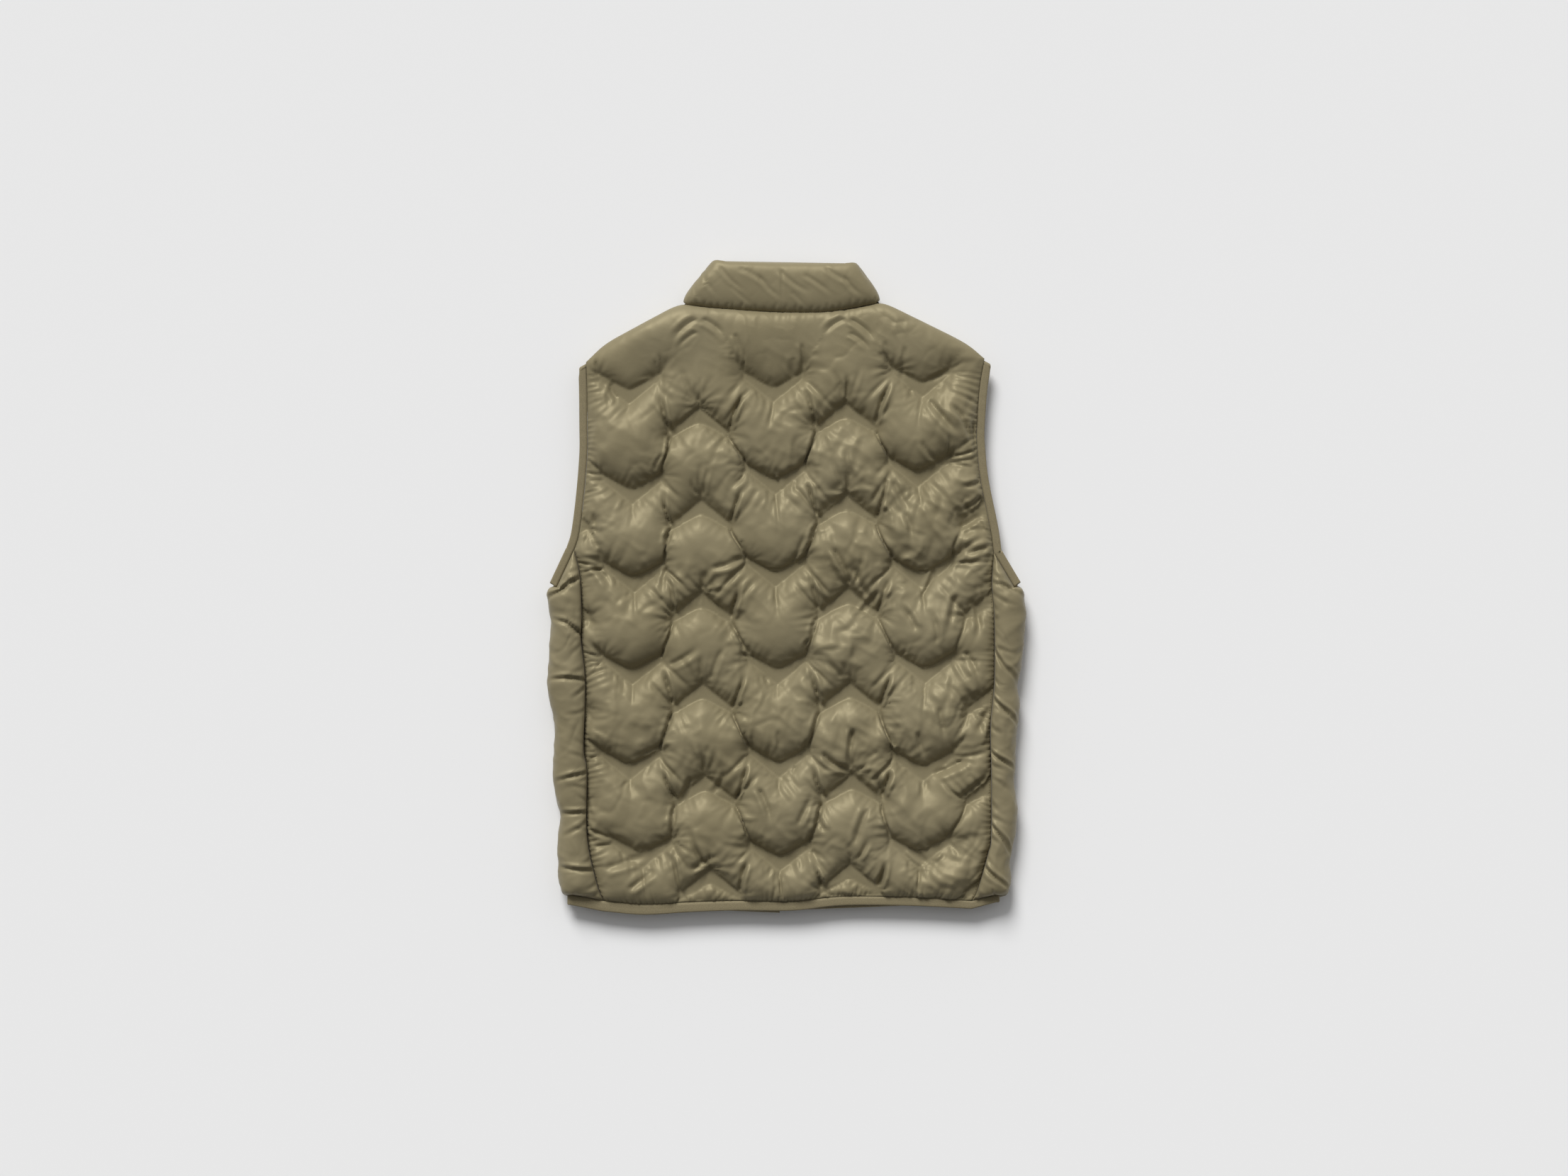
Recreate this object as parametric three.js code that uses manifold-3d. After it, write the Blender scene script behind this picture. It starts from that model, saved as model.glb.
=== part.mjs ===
// Puffer vest, laid out flat on its fronts with its back up and its collar towards +Y.
// Millimetres, +Z up, floor at z = 0, origin under the middle of the vest.
//
// The garment is two padded layers that lie on each other. The fronts are below, the back is
// above, and their linings face each other across LAYER_PLANE. At both sides the fronts fold
// round and come back over the top as a strip, as far as the side seams.
// "left" is the wearer's left, which is -X.

import * as THREE from 'three';
import Module from 'manifold-3d';
import { mergeVertices } from 'three/addons/utils/BufferGeometryUtils.js';

const SEAM_GAP = 0.3; // clearance between two pieces that are sewn together
const LAYER_PLANE = 17; // height at which the two layers lie on each other
const LINING_GAP = 0.15; // distance of each lining from that plane
const SEAM_WALL = 3; // padded wall where it is sewn or bonded flat
const PUFF_RISE = 16; // rise of a full puff above the seam wall
const PUFF_REACH = 40; // distance from a seam at which a puff is full
const STRIP_RISE = 12; // the same two for the strips outside the side seams
const STRIP_REACH = 22;
const FRONT_REACH = 20;
const STRIP_END_ROW = 11; // a strip's puff gains this much room with each row from its ends
const FOLD_CREASE = 1; // radius of the lining's crease inside a fold
const FOLD_STEPS = 4;

const SIDE_ROWS = 36; // grid rows from the hem to the underarm
const ARM_ROWS = 22; // from the underarm to the shoulder
const SHOULDER_ROWS = 8; // along the shoulder
const BACK_COLUMNS = 42;
const STRIP_COLUMNS = 4;
const NECK_ROWS = 8; // front rows that end at the neckline
const COLLAR_ROWS = 5;
const FRONT_COLUMNS = [0, 0.035, 0.09, 0.3, 0.6, 0.88, 0.95, 1]; // shares of the way from the zip to the fold
const HEM_PULL_ROWS = 7; // rows over which the grid bends to the hem's line
const NECK_PULL_ROWS = 9;

// Outlines. Each row is one point of a smooth curve.
const SIDE_FOLD = {
  left: [
    { x: -249, y: -349 }, { x: -254.5, y: -339.5 }, { x: -258.5, y: -303.3 }, { x: -257.8, y: -279 },
    { x: -254.5, y: -255 }, { x: -259.4, y: -243 }, { x: -262.6, y: -218.7 }, { x: -263.4, y: -206.6 },
    { x: -261, y: -158.3 }, { x: -265.8, y: -134 }, { x: -269.8, y: -110 }, { x: -268.2, y: -98 },
    { x: -265.8, y: -61.6 }, { x: -264.2, y: -37.5 }, { x: -269.8, y: -13.3 }, { x: -265, y: 0 },
  ],
  right: [
    { x: 243, y: -349 }, { x: 253.7, y: -339.5 }, { x: 252.5, y: -305 }, { x: 258.6, y: -279 },
    { x: 261, y: -255 }, { x: 260.2, y: -243 }, { x: 256.2, y: -218.7 }, { x: 258.6, y: -206.6 },
    { x: 261, y: -158.3 }, { x: 263.4, y: -134 }, { x: 260, y: -114 }, { x: 263.4, y: -98 },
    { x: 268.2, y: -61.6 }, { x: 269.8, y: -37.5 }, { x: 268.2, y: -13.3 }, { x: 263.5, y: 0 },
  ],
};
const SIDE_SEAM = {
  left: [
    { x: -207.4, y: -356.4 }, { x: -215.9, y: -333.1 }, { x: -225.9, y: -282.3 }, { x: -226.3, y: -209 },
    { x: -229.6, y: -181.6 }, { x: -228, y: -108.3 }, { x: -232.8, y: -56.8 }, { x: -232, y: -27.8 },
    { x: -234.4, y: 14.9 }, { x: -241, y: 42 },
  ],
  right: [
    { x: 211, y: -356.4 }, { x: 217.5, y: -343.5 }, { x: 229.2, y: -302.5 }, { x: 232.8, y: -282.3 },
    { x: 232.8, y: -203.4 }, { x: 232, y: -156.7 }, { x: 236.4, y: -104.3 }, { x: 236.4, y: -31.8 },
    { x: 233.6, y: 4.4 }, { x: 236, y: 39 },
  ],
};
const BACK_ARMHOLE = {
  left: [
    { x: -241, y: 42 }, { x: -235.2, y: 61.6 }, { x: -229.6, y: 105.1 }, { x: -225.9, y: 151.8 },
    { x: -225.9, y: 184.1 }, { x: -226.3, y: 228 }, { x: -227.5, y: 256 },
  ],
  right: [
    { x: 236, y: 39 }, { x: 232, y: 67.3 }, { x: 221.1, y: 121.2 }, { x: 217, y: 160 },
    { x: 216.7, y: 184.1 }, { x: 220, y: 228 }, { x: 225.5, y: 260 },
  ],
};
// The front armhole is cut deeper than the back one, which hides it.
const FRONT_ARMHOLE = {
  left: [
    { x: -259, y: 0 }, { x: -244, y: 30 }, { x: -229, y: 62 }, { x: -219, y: 105 }, { x: -215, y: 150 },
    { x: -217, y: 200 }, { x: -222, y: 236 }, { x: -227.5, y: 256 },
  ],
  right: [
    { x: 257, y: 0 }, { x: 241, y: 28 }, { x: 225, y: 62 }, { x: 212, y: 105 }, { x: 207, y: 150 },
    { x: 209, y: 200 }, { x: 216, y: 238 }, { x: 225.5, y: 260 },
  ],
};
const SHOULDER = {
  left: [{ x: -227.5, y: 256 }, { x: -204.6, y: 276.7 }, { x: -171.6, y: 295.2 }, { x: -118.4, y: 321 }],
  right: [{ x: 225.5, y: 260 }, { x: 204.6, y: 276.7 }, { x: 169.2, y: 295.2 }, { x: 108, y: 323 }],
};
const BACK_NECK = [
  { x: -118.4, y: 321 }, { x: -85.4, y: 316.8 }, { x: -49.1, y: 313.7 }, { x: -12.9, y: 312.1 },
  { x: 28.2, y: 311.3 }, { x: 64.4, y: 314.5 }, { x: 108, y: 323 },
];
const BACK_HEM = [
  { x: -207.4, y: -356.4 }, { x: -161.9, y: -360.5 }, { x: -111.2, y: -358 }, { x: -57.2, y: -356.4 },
  { x: 7.2, y: -357 }, { x: 64.4, y: -351.6 }, { x: 136.9, y: -352.4 }, { x: 211, y: -356.4 },
];
const ARMHOLE_TAPE = 9; // widths of the bindings
const HEM_TAPE = { left: 12, middle: 10.5, right: 9 };
const WRAP_TAPE = 5; // width of the armhole tape where it passes round the fold

// Centre front, under the vest
const ZIP_HALF = 7; // half width of the zip tape
const FRONT_NECK_BASE = 238; // the neckline at the zip
const FRONT_HEM = -358;
const COLLAR_FRONT_TOP = 300; // the collar's upper edge at the zip
const COLLAR_TOP = { left: { x: -80.5, y: 371 }, right: { x: 77.3, y: 368.5 } };
const COLLAR_RISE = 9;
const COLLAR_NARROWING = 4; // the back's upper edge is this much nearer the middle at both ends
const COLLAR_FOLD_SHARE = 0.75; // rise at the collar's folds, as a share of COLLAR_RISE
const FRONT_NECKLINE = [{ x: 40, rise: 8 }, { x: 86, rise: 40 }]; // between the zip and the shoulder
const COLLAR_CORNER = 3.5; // the collar's fold starts this far above the shoulder's end

// Bonded quilting bands of the back, by the tip of each. An "up" band is a V whose tip is its
// lowest point, a "down" band is the same turned over.
const BANDS = [
  { x: -178.8, y: 207.4, opens: 'up' }, { x: -174.8, y: 93.8, opens: 'up' },
  { x: -172.4, y: -6.8, opens: 'up' }, { x: -174.8, y: -111.6, opens: 'up' },
  { x: -177.2, y: -219.5, opens: 'up' }, { x: -163.5, y: -319.4, opens: 'up' },
  { x: -14.5, y: 209.8, opens: 'up' }, { x: -12.1, y: 105.1, opens: 'up' },
  { x: -12.1, y: -0.4, opens: 'up' }, { x: -9.7, y: -110.8, opens: 'up' },
  { x: -8.1, y: -217.1, opens: 'up' }, { x: -7.2, y: -323.4, opens: 'up' },
  { x: 154.7, y: 215.5, opens: 'up' }, { x: 149.8, y: 113.2, opens: 'up' },
  { x: 153.9, y: -2, opens: 'up' }, { x: 157.9, y: -109.9, opens: 'up' },
  { x: 155.5, y: -221.1, opens: 'up' }, { x: 151.4, y: -318.6, opens: 'up' },
  { x: -99, y: 303, opens: 'down' }, { x: -98.7, y: 204.2, opens: 'down' },
  { x: -96.7, y: 99.5, opens: 'down' }, { x: -95.9, y: -5.6, opens: 'down' },
  { x: -95, y: -109.1, opens: 'down' }, { x: -91.8, y: -213.9, opens: 'down' },
  { x: -86.2, y: -320.2, opens: 'down' },
  { x: 69.3, y: 303, opens: 'down' }, { x: 67.7, y: 209.8, opens: 'down' },
  { x: 69.3, y: 105.1, opens: 'down' }, { x: 70.1, y: -1.2, opens: 'down' },
  { x: 72.5, y: -108.3, opens: 'down' }, { x: 74.9, y: -212.2, opens: 'down' },
  { x: 72.5, y: -314.5, opens: 'down' },
];
const BAND_HALF_SPAN = 33; // tip to arm end, across
const BAND_MIDLINE = { tip: 8, end: 29 }; // height of an arm's midline above the tip's level
const BAND_HALF_WIDTH = { tip: 6.5, end: 3.5 };
const BAND_ROW_PITCH = 105.8;
const BAND_COLUMN_PITCH = 82.4;
const VALLEY_LIFT = 11; // a pulled valley between two band ends is this much less deep
const VALLEY_ROWS = 0.62; // and its ends are less than this many rows apart

// Largest folds of the back that don't follow the quilting
const BACK_FOLDS = [
  { fromX: -246, fromY: 30, toX: -205, toY: -20, halfWidth: 12, depth: 6 },
  { fromX: -222, fromY: 66, toX: -200, toY: 30, halfWidth: 9, depth: 5 },
  { fromX: 232, fromY: -176, toX: 150, toY: -245, halfWidth: 13, depth: 7 },
  { fromX: 228, fromY: -270, toX: 140, toY: -340, halfWidth: 14, depth: 7 },
  { fromX: 205, fromY: -330, toX: 170, toY: -352, halfWidth: 9, depth: 4 },
  { fromX: 196, fromY: 120, toX: 212, toY: 70, halfWidth: 10, depth: 6 },
  { fromX: 203, fromY: -28, toX: 230, toY: 20, halfWidth: 10, depth: 5 },
  { fromX: -224, fromY: -206, toX: -150, toY: -245, halfWidth: 11, depth: 5 },
  { fromX: -20, fromY: 262, toX: 20, toY: 230, halfWidth: 10, depth: 4 },
  { fromX: 110, fromY: -150, toX: 60, toY: -185, halfWidth: 11, depth: 4 },
];
// Tucks across the strips outside the side seams
const STRIP_TUCKS = {
  left: [
    { foldY: -37, seamY: -60, halfWidth: 9, depth: 6 }, { foldY: -107, seamY: -107, halfWidth: 8, depth: 8 },
    { foldY: -160, seamY: -165, halfWidth: 14, depth: 3 }, { foldY: -221, seamY: -209, halfWidth: 9, depth: 7 },
    { foldY: -255, seamY: -243, halfWidth: 8, depth: 6 }, { foldY: -320, seamY: -290, halfWidth: 12, depth: 4 },
  ],
  right: [
    { foldY: -15, seamY: 5, halfWidth: 12, depth: 3 }, { foldY: -113, seamY: -60, halfWidth: 11, depth: 5 },
    { foldY: -160, seamY: -120, halfWidth: 13, depth: 4 }, { foldY: -209, seamY: -180, halfWidth: 10, depth: 6 },
    { foldY: -305, seamY: -262, halfWidth: 11, depth: 6 }, { foldY: -341, seamY: -310, halfWidth: 9, depth: 4 },
  ],
};
// Slanting gathers across the back of the collar
const COLLAR_GATHERS = [
  { seamX: -98, topX: -72, halfWidth: 7, depth: 3 }, { seamX: -70, topX: -52, halfWidth: 8, depth: 2.5 },
  { seamX: -44, topX: -25, halfWidth: 9, depth: 3 }, { seamX: -12, topX: -3, halfWidth: 7, depth: 2.5 },
  { seamX: 22, topX: 12, halfWidth: 8, depth: 2.5 }, { seamX: 50, topX: 32, halfWidth: 8, depth: 3 },
  { seamX: 78, topX: 56, halfWidth: 7, depth: 3 }, { seamX: 96, topX: 72, halfWidth: 6, depth: 2.5 },
];

// Zip
const ZIP = { tapeThickness: 1, tapeTop: 15.8, chainHalf: 2.8, chainThickness: 1.5, bottom: -366 };
const SLIDER = { y: 289, length: 11, halfWidth: 4.5, thickness: 2 };
const LUG = { inner: 3, thickness: 1.1, length: 3.4, sunk: 1, belowPin: 0.6 };
const PIVOT = { drop: 2.4, radius: 0.8, reachIntoLug: 0.5, eyeRadius: 2, eyeHole: 1.1 };
const PULL = { length: 24, halfWidth: 2.5, thickness: 1.6, hangDegrees: 18 };

const FABRIC = { color: 0x7d7359, roughness: 0.42, metalness: 0 };
const TAPE = { color: 0x877b60, roughness: 0.85, metalness: 0 };
const ZIP_TEETH = { color: 0x5f563f, roughness: 0.5, metalness: 0 };
const ZIP_METAL = { color: 0x6b6350, roughness: 0.35, metalness: 0.8 };

const outward = { left: -1, right: 1 };
const mix = (a, b, t) => a + (b - a) * t;
const clamp01 = (t) => Math.min(1, Math.max(0, t));
const smooth = (t) => clamp01(t) ** 2 * (3 - 2 * clamp01(t));
const mixPoint = (a, b, t) => ({ x: mix(a.x, b.x, t), y: mix(a.y, b.y, t) });

function curvePoints(rows, steps) {
  const places = rows.map((p) => new THREE.Vector3(p.x, p.y, 0));
  const curve = new THREE.CatmullRomCurve3(places, false, 'centripetal');
  curve.arcLengthDivisions = 400;
  return curve.getSpacedPoints(steps).map((p) => ({ x: p.x, y: p.y }));
}

function segmentDistance(p, a, b) {
  const length2 = (b.x - a.x) ** 2 + (b.y - a.y) ** 2;
  const t = length2 ? clamp01(((p.x - a.x) * (b.x - a.x) + (p.y - a.y) * (b.y - a.y)) / length2) : 0;
  return { distance: Math.hypot(p.x - mix(a.x, b.x, t), p.y - mix(a.y, b.y, t)), t };
}

function lineDistance(p, points) {
  let best = Infinity;
  for (let k = 1; k < points.length; k += 1) {
    best = Math.min(best, segmentDistance(p, points[k - 1], points[k]).distance);
  }
  return best;
}

// Side view of a puff: steep at the seam, flat on top
function puffProfile(t) {
  return Math.sqrt(1 - (1 - clamp01(t)) ** 2);
}

function troughDepth(p, a, b, halfWidth, depth) {
  const { distance, t } = segmentDistance(p, a, b);
  const fade = smooth(Math.min(t, 1 - t) * 4 + 0.25);
  return depth * fade * smooth(1 - distance / halfWidth);
}

// Triangles of a grid of vertex numbers. Each cell is split along its flatter diagonal.
function gridFaces(grid, vertices) {
  const faces = [];
  for (let j = 1; j < grid.length; j += 1) {
    for (let i = 1; i < grid[j].length; i += 1) {
      const [a, b, c, d] = [grid[j - 1][i - 1], grid[j - 1][i], grid[j][i], grid[j][i - 1]];
      const rise = (m, n) => Math.abs(vertices[m].outer.z - vertices[n].outer.z);
      if (rise(a, c) <= rise(b, d)) faces.push([a, b, c], [a, c, d]);
      else faces.push([a, b, d], [b, c, d]);
    }
  }
  return faces;
}

function boundaryEdges(faces) {
  const edges = new Map();
  for (const [a, b, c] of faces) {
    for (const [from, to] of [[a, b], [b, c], [c, a]]) edges.set(`${from},${to}`, [from, to]);
  }
  return [...edges.values()].filter(([from, to]) => !edges.has(`${to},${from}`));
}

function boundaryLoop(edges) {
  const next = new Map(edges);
  const loop = [edges[0][0]];
  while (next.get(loop.at(-1)) !== loop[0]) loop.push(next.get(loop.at(-1)));
  return loop;
}

// A closed wall from shell faces. The lining repeats the shell's faces, or with plainInside is
// one flat face inside the wall's outline.
function wallGeometry(vertices, faces, plainInside = false) {
  const rim = boundaryEdges(faces);
  const positions = vertices.map((v) => v.outer);
  const innerNumber = new Map();
  const innerVertex = (k) => {
    if (!innerNumber.has(k)) innerNumber.set(k, positions.push(vertices[k].inner) - 1);
    return innerNumber.get(k);
  };
  const triangles = [...faces];
  if (plainInside) {
    const loop = boundaryLoop(rim);
    const contour = loop.map((k) => new THREE.Vector2(vertices[k].inner.x, vertices[k].inner.y));
    for (const [a, b, c] of THREE.ShapeUtils.triangulateShape(contour, [])) {
      triangles.push([innerVertex(loop[c]), innerVertex(loop[b]), innerVertex(loop[a])]);
    }
  } else {
    for (const [a, b, c] of faces) triangles.push([innerVertex(c), innerVertex(b), innerVertex(a)]);
  }
  for (const [a, b] of rim) {
    triangles.push([b, a, innerVertex(a)], [b, innerVertex(a), innerVertex(b)]);
  }
  return meshGeometry(positions, triangles);
}

function meshGeometry(positions, triangles) {
  let volume = 0;
  for (const [a, b, c] of triangles) {
    volume += positions[a].dot(new THREE.Vector3().crossVectors(positions[b], positions[c]));
  }
  const index = triangles.flatMap(([a, b, c]) => (volume > 0 ? [a, b, c] : [a, c, b]));
  const coordinates = positions.flatMap((p) => p.toArray());
  const geometry = new THREE.BufferGeometry();
  geometry.setAttribute('position', new THREE.Float32BufferAttribute(coordinates, 3));
  geometry.setIndex(index);
  return geometry;
}

function namedMesh(name, geometry, finish) {
  geometry.computeVertexNormals();
  const mesh = new THREE.Mesh(geometry, new THREE.MeshStandardMaterial(finish));
  mesh.name = name;
  return mesh;
}

const topLayer = (p, thickness) => ({
  outer: new THREE.Vector3(p.x, p.y, LAYER_PLANE + LINING_GAP + thickness),
  inner: new THREE.Vector3(p.x, p.y, LAYER_PLANE + LINING_GAP),
});
const lowLayer = (p, thickness) => ({
  outer: new THREE.Vector3(p.x, p.y, Math.max(0, LAYER_PLANE - LINING_GAP - thickness)),
  inner: new THREE.Vector3(p.x, p.y, LAYER_PLANE - LINING_GAP),
});
const foldDepth = (thickness) => thickness + FOLD_CREASE;

// A point of a wall that folds from the low layer to the top one round the line through edge.
// turn is -90 at the low layer and 90 at the top one, out is the way that the fold faces.
function foldedPoint(edge, out, lowThickness, topThickness, turn) {
  const angle = THREE.MathUtils.degToRad(turn);
  const thickness = mix(lowThickness, topThickness, (turn + 90) / 180);
  const low = Math.min(lowThickness, LAYER_PLANE - LINING_GAP);
  const back = foldDepth(thickness);
  const centre = { x: edge.x - out.x * back, y: edge.y - out.y * back };
  const height = (angle < 0 ? low : topThickness) + LINING_GAP;
  const reach = Math.cos(angle);
  const at = (radius, rise) => new THREE.Vector3(
    centre.x + out.x * radius * reach,
    centre.y + out.y * radius * reach,
    LAYER_PLANE + rise * Math.sin(angle),
  );
  return { outer: at(back, height), inner: at(FOLD_CREASE, LINING_GAP) };
}
const FOLD_TURNS = Array.from({ length: FOLD_STEPS + 1 }, (_, k) => mix(-90, 90, k / FOLD_STEPS));

function bandArms({ x, y, opens }) {
  const up = opens === 'up' ? 1 : -1;
  const tip = { x, y: y + up * BAND_MIDLINE.tip };
  const end = (side) => ({ x: x + side * BAND_HALF_SPAN, y: y + up * BAND_MIDLINE.end });
  return [-1, 1].map((side) => ({ tip, side, up, end: end(side) }));
}
const ARMS = BANDS.flatMap(bandArms);

// Cloth is pulled between the end of each V's arm and the ends of the turned bands beside it.
function pulledValleys() {
  const valleys = [];
  for (const a of ARMS.filter((arm) => arm.up === 1)) {
    for (const b of ARMS.filter((arm) => arm.up === -1 && arm.side === -a.side)) {
      const nearColumns = Math.abs(b.end.x - a.end.x) < BAND_COLUMN_PITCH / 3;
      const nearRows = Math.abs(b.end.y - a.end.y) < BAND_ROW_PITCH * VALLEY_ROWS;
      if (nearColumns && nearRows) valleys.push([a.end, b.end]);
    }
  }
  return valleys;
}
const VALLEYS = pulledValleys();

function backThickness(p, outline) {
  let clear = lineDistance(p, outline);
  for (const { tip, end } of ARMS) {
    const { distance, t } = segmentDistance(p, tip, end);
    clear = Math.min(clear, Math.max(0, distance - mix(BAND_HALF_WIDTH.tip, BAND_HALF_WIDTH.end, t)));
  }
  for (const [a, b] of VALLEYS) clear = Math.min(clear, segmentDistance(p, a, b).distance + VALLEY_LIFT);
  let puff = PUFF_RISE * puffProfile(clear / PUFF_REACH);
  for (const fold of BACK_FOLDS) {
    const from = { x: fold.fromX, y: fold.fromY };
    puff -= troughDepth(p, from, { x: fold.toX, y: fold.toY }, fold.halfWidth, fold.depth);
  }
  return SEAM_WALL + Math.max(0, puff);
}

// Outline of the back, row by row
const backEdge = Object.fromEntries(['left', 'right'].map((side) => [side, [
  ...curvePoints(SIDE_SEAM[side], SIDE_ROWS),
  ...curvePoints(BACK_ARMHOLE[side], ARM_ROWS).slice(1),
  ...curvePoints(SHOULDER[side], SHOULDER_ROWS).slice(1),
]]));
const backHem = curvePoints(BACK_HEM, BACK_COLUMNS);
const backNeck = curvePoints(BACK_NECK, BACK_COLUMNS);
const BACK_ROWS = SIDE_ROWS + ARM_ROWS + SHOULDER_ROWS;
const backOutline = [
  ...backHem, ...backEdge.right, ...[...backNeck].reverse(), ...[...backEdge.left].reverse(),
];

function backPoint(i, j) {
  const straight = (row) => mixPoint(backEdge.left[row], backEdge.right[row], i / BACK_COLUMNS);
  const p = straight(j);
  const hemPull = 1 - smooth(j / HEM_PULL_ROWS);
  const neckPull = 1 - smooth((BACK_ROWS - j) / NECK_PULL_ROWS);
  p.x += hemPull * (backHem[i].x - straight(0).x) + neckPull * (backNeck[i].x - straight(BACK_ROWS).x);
  p.y += hemPull * (backHem[i].y - straight(0).y) + neckPull * (backNeck[i].y - straight(BACK_ROWS).y);
  return p;
}

function buildBack() {
  const vertices = [];
  const grid = [];
  for (let j = 0; j <= BACK_ROWS; j += 1) {
    grid.push([]);
    for (let i = 0; i <= BACK_COLUMNS; i += 1) {
      const p = backPoint(i, j);
      grid[j].push(vertices.push(topLayer(p, backThickness(p, backOutline))) - 1);
    }
  }
  return namedMesh('back_panel', wallGeometry(vertices, gridFaces(grid, vertices), true), FABRIC);
}

// One front: flat below from the zip to the fold, and on over the top as the strip.
// The points of its edges are kept, because the tapes and the collar are sewn to them.
function frontPanel(side) {
  const out = outward[side];
  const zipEdge = out * (ZIP_HALF + SEAM_GAP);
  const neckCorner = SHOULDER[side].at(-1);
  const neckline = curvePoints([
    { x: zipEdge, y: FRONT_NECK_BASE },
    ...FRONT_NECKLINE.map(({ x, rise }) => ({ x: out * x, y: FRONT_NECK_BASE + rise })),
    neckCorner,
  ], NECK_ROWS);
  const zipEnds = [{ x: zipEdge, y: FRONT_HEM }, { x: zipEdge, y: FRONT_NECK_BASE }];
  const zipLine = curvePoints(zipEnds, SIDE_ROWS + ARM_ROWS - NECK_ROWS);
  const innerEdge = [...zipLine, ...neckline.slice(1)];
  const foldEdge = curvePoints(SIDE_FOLD[side], SIDE_ROWS);
  const seamEdge = curvePoints(SIDE_SEAM[side], SIDE_ROWS)
    .map((p) => ({ x: p.x + out * SEAM_GAP, y: p.y }));
  const armEdge = curvePoints(FRONT_ARMHOLE[side], ARM_ROWS);
  const shoulderEdge = curvePoints(SHOULDER[side], SHOULDER_ROWS);

  const lowThickness = (p) => {
    const nearest = Math.min(
      Math.abs(p.x - zipEdge), Math.abs(p.y - FRONT_HEM), lineDistance(p, neckline),
      lineDistance(p, armEdge), lineDistance(p, shoulderEdge));
    return SEAM_WALL + (LAYER_PLANE - SEAM_WALL) * puffProfile(nearest / FRONT_REACH);
  };
  // Thickness of the strip and its fold, at a share of the way from the fold to the seam
  const stripThickness = (j, share) => {
    const end = Math.min(j, SIDE_ROWS - j) * STRIP_END_ROW;
    const width = Math.abs(foldEdge[j].x - seamEdge[j].x);
    const dome = STRIP_REACH * (1 - clamp01(share * 1.15 - 0.15) ** 2); // full until near the seam
    const clear = Math.min(end, dome + (1 - share) * width * 0.3);
    let rise = STRIP_RISE * puffProfile(clear / STRIP_REACH);
    const y = mix(foldEdge[j].y, seamEdge[j].y, share);
    for (const tuck of STRIP_TUCKS[side]) {
      const tuckY = mix(tuck.foldY, tuck.seamY, share);
      rise -= tuck.depth * smooth(1 - Math.abs(y - tuckY) / tuck.halfWidth) * mix(0.6, 1, share);
    }
    return SEAM_WALL + Math.max(0, rise);
  };

  const vertices = [];
  const grid = [];
  const edges = { hem: [], strip: [], arm: [], neck: [] };
  for (let j = 0; j <= SIDE_ROWS + ARM_ROWS; j += 1) {
    const wrapped = j <= SIDE_ROWS;
    const foldThickness = wrapped ? stripThickness(j, 0) : SEAM_WALL;
    const foldStart = wrapped
      && { x: foldEdge[j].x - out * foldDepth(foldThickness), y: foldEdge[j].y };
    const outer = foldStart || armEdge[j - SIDE_ROWS];
    const row = FRONT_COLUMNS.map((t) => {
      const p = mixPoint(innerEdge[j], outer, t);
      const blend = wrapped && t > 0.5 ? smooth((t - 0.6) / 0.4) : 0;
      return lowLayer(p, mix(lowThickness(p), foldThickness, blend));
    });
    edges.neck.push(row[0]);
    if (j === 0) edges.hem.push(...row);
    if (j >= SIDE_ROWS) edges.arm.push(row.at(-1));
    if (wrapped) {
      const wrap = FOLD_TURNS.slice(1).map((turn) => foldedPoint(
        foldEdge[j], { x: out, y: 0 }, foldThickness, foldThickness, turn));
      for (let k = 1; k <= STRIP_COLUMNS; k += 1) {
        const share = k / STRIP_COLUMNS;
        wrap.push(topLayer(mixPoint(foldStart, seamEdge[j], share), stripThickness(j, share)));
      }
      if (j === 0) edges.hem.push(...wrap);
      if (j === SIDE_ROWS) edges.strip = wrap;
      row.push(...wrap);
    }
    grid.push(row.map((vertex) => vertices.push(vertex) - 1));
  }
  const faces = gridFaces(grid.slice(0, SIDE_ROWS + 1), vertices);
  const upper = grid.slice(SIDE_ROWS).map((row) => row.slice(0, FRONT_COLUMNS.length));
  faces.push(...gridFaces(upper, vertices));
  edges.neck = edges.neck.slice(SIDE_ROWS + ARM_ROWS - NECK_ROWS);
  return { mesh: namedMesh(`front_${side}`, wallGeometry(vertices, faces), FABRIC), edges };
}

const shifted = (vertex, dx, dy) => ({
  outer: vertex.outer.clone().add(new THREE.Vector3(dx, dy, 0)),
  inner: vertex.inner.clone().add(new THREE.Vector3(dx, dy, 0)),
});

// A tape sewn along an edge: each edge vertex moved out by the gap, and again by the width.
function tapeGeometry(edge, isRing) {
  const vertices = [];
  const grid = edge.map(({ vertex, dx, dy, width }) => [SEAM_GAP, SEAM_GAP + width].map(
    (reach) => vertices.push(shifted(vertex, dx * reach, dy * reach)) - 1));
  if (isRing) grid.push(grid[0]);
  return wallGeometry(vertices, gridFaces(grid, vertices));
}

// Way out of the panel at each point of an edge, in plan
function edgeNormals(points, sign) {
  return points.map((_, k) => {
    const a = points[Math.max(0, k - 1)];
    const b = points[Math.min(points.length - 1, k + 1)];
    const length = Math.hypot(b.x - a.x, b.y - a.y);
    return { dx: (sign * -(b.y - a.y)) / length, dy: (sign * (b.x - a.x)) / length };
  });
}

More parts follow.
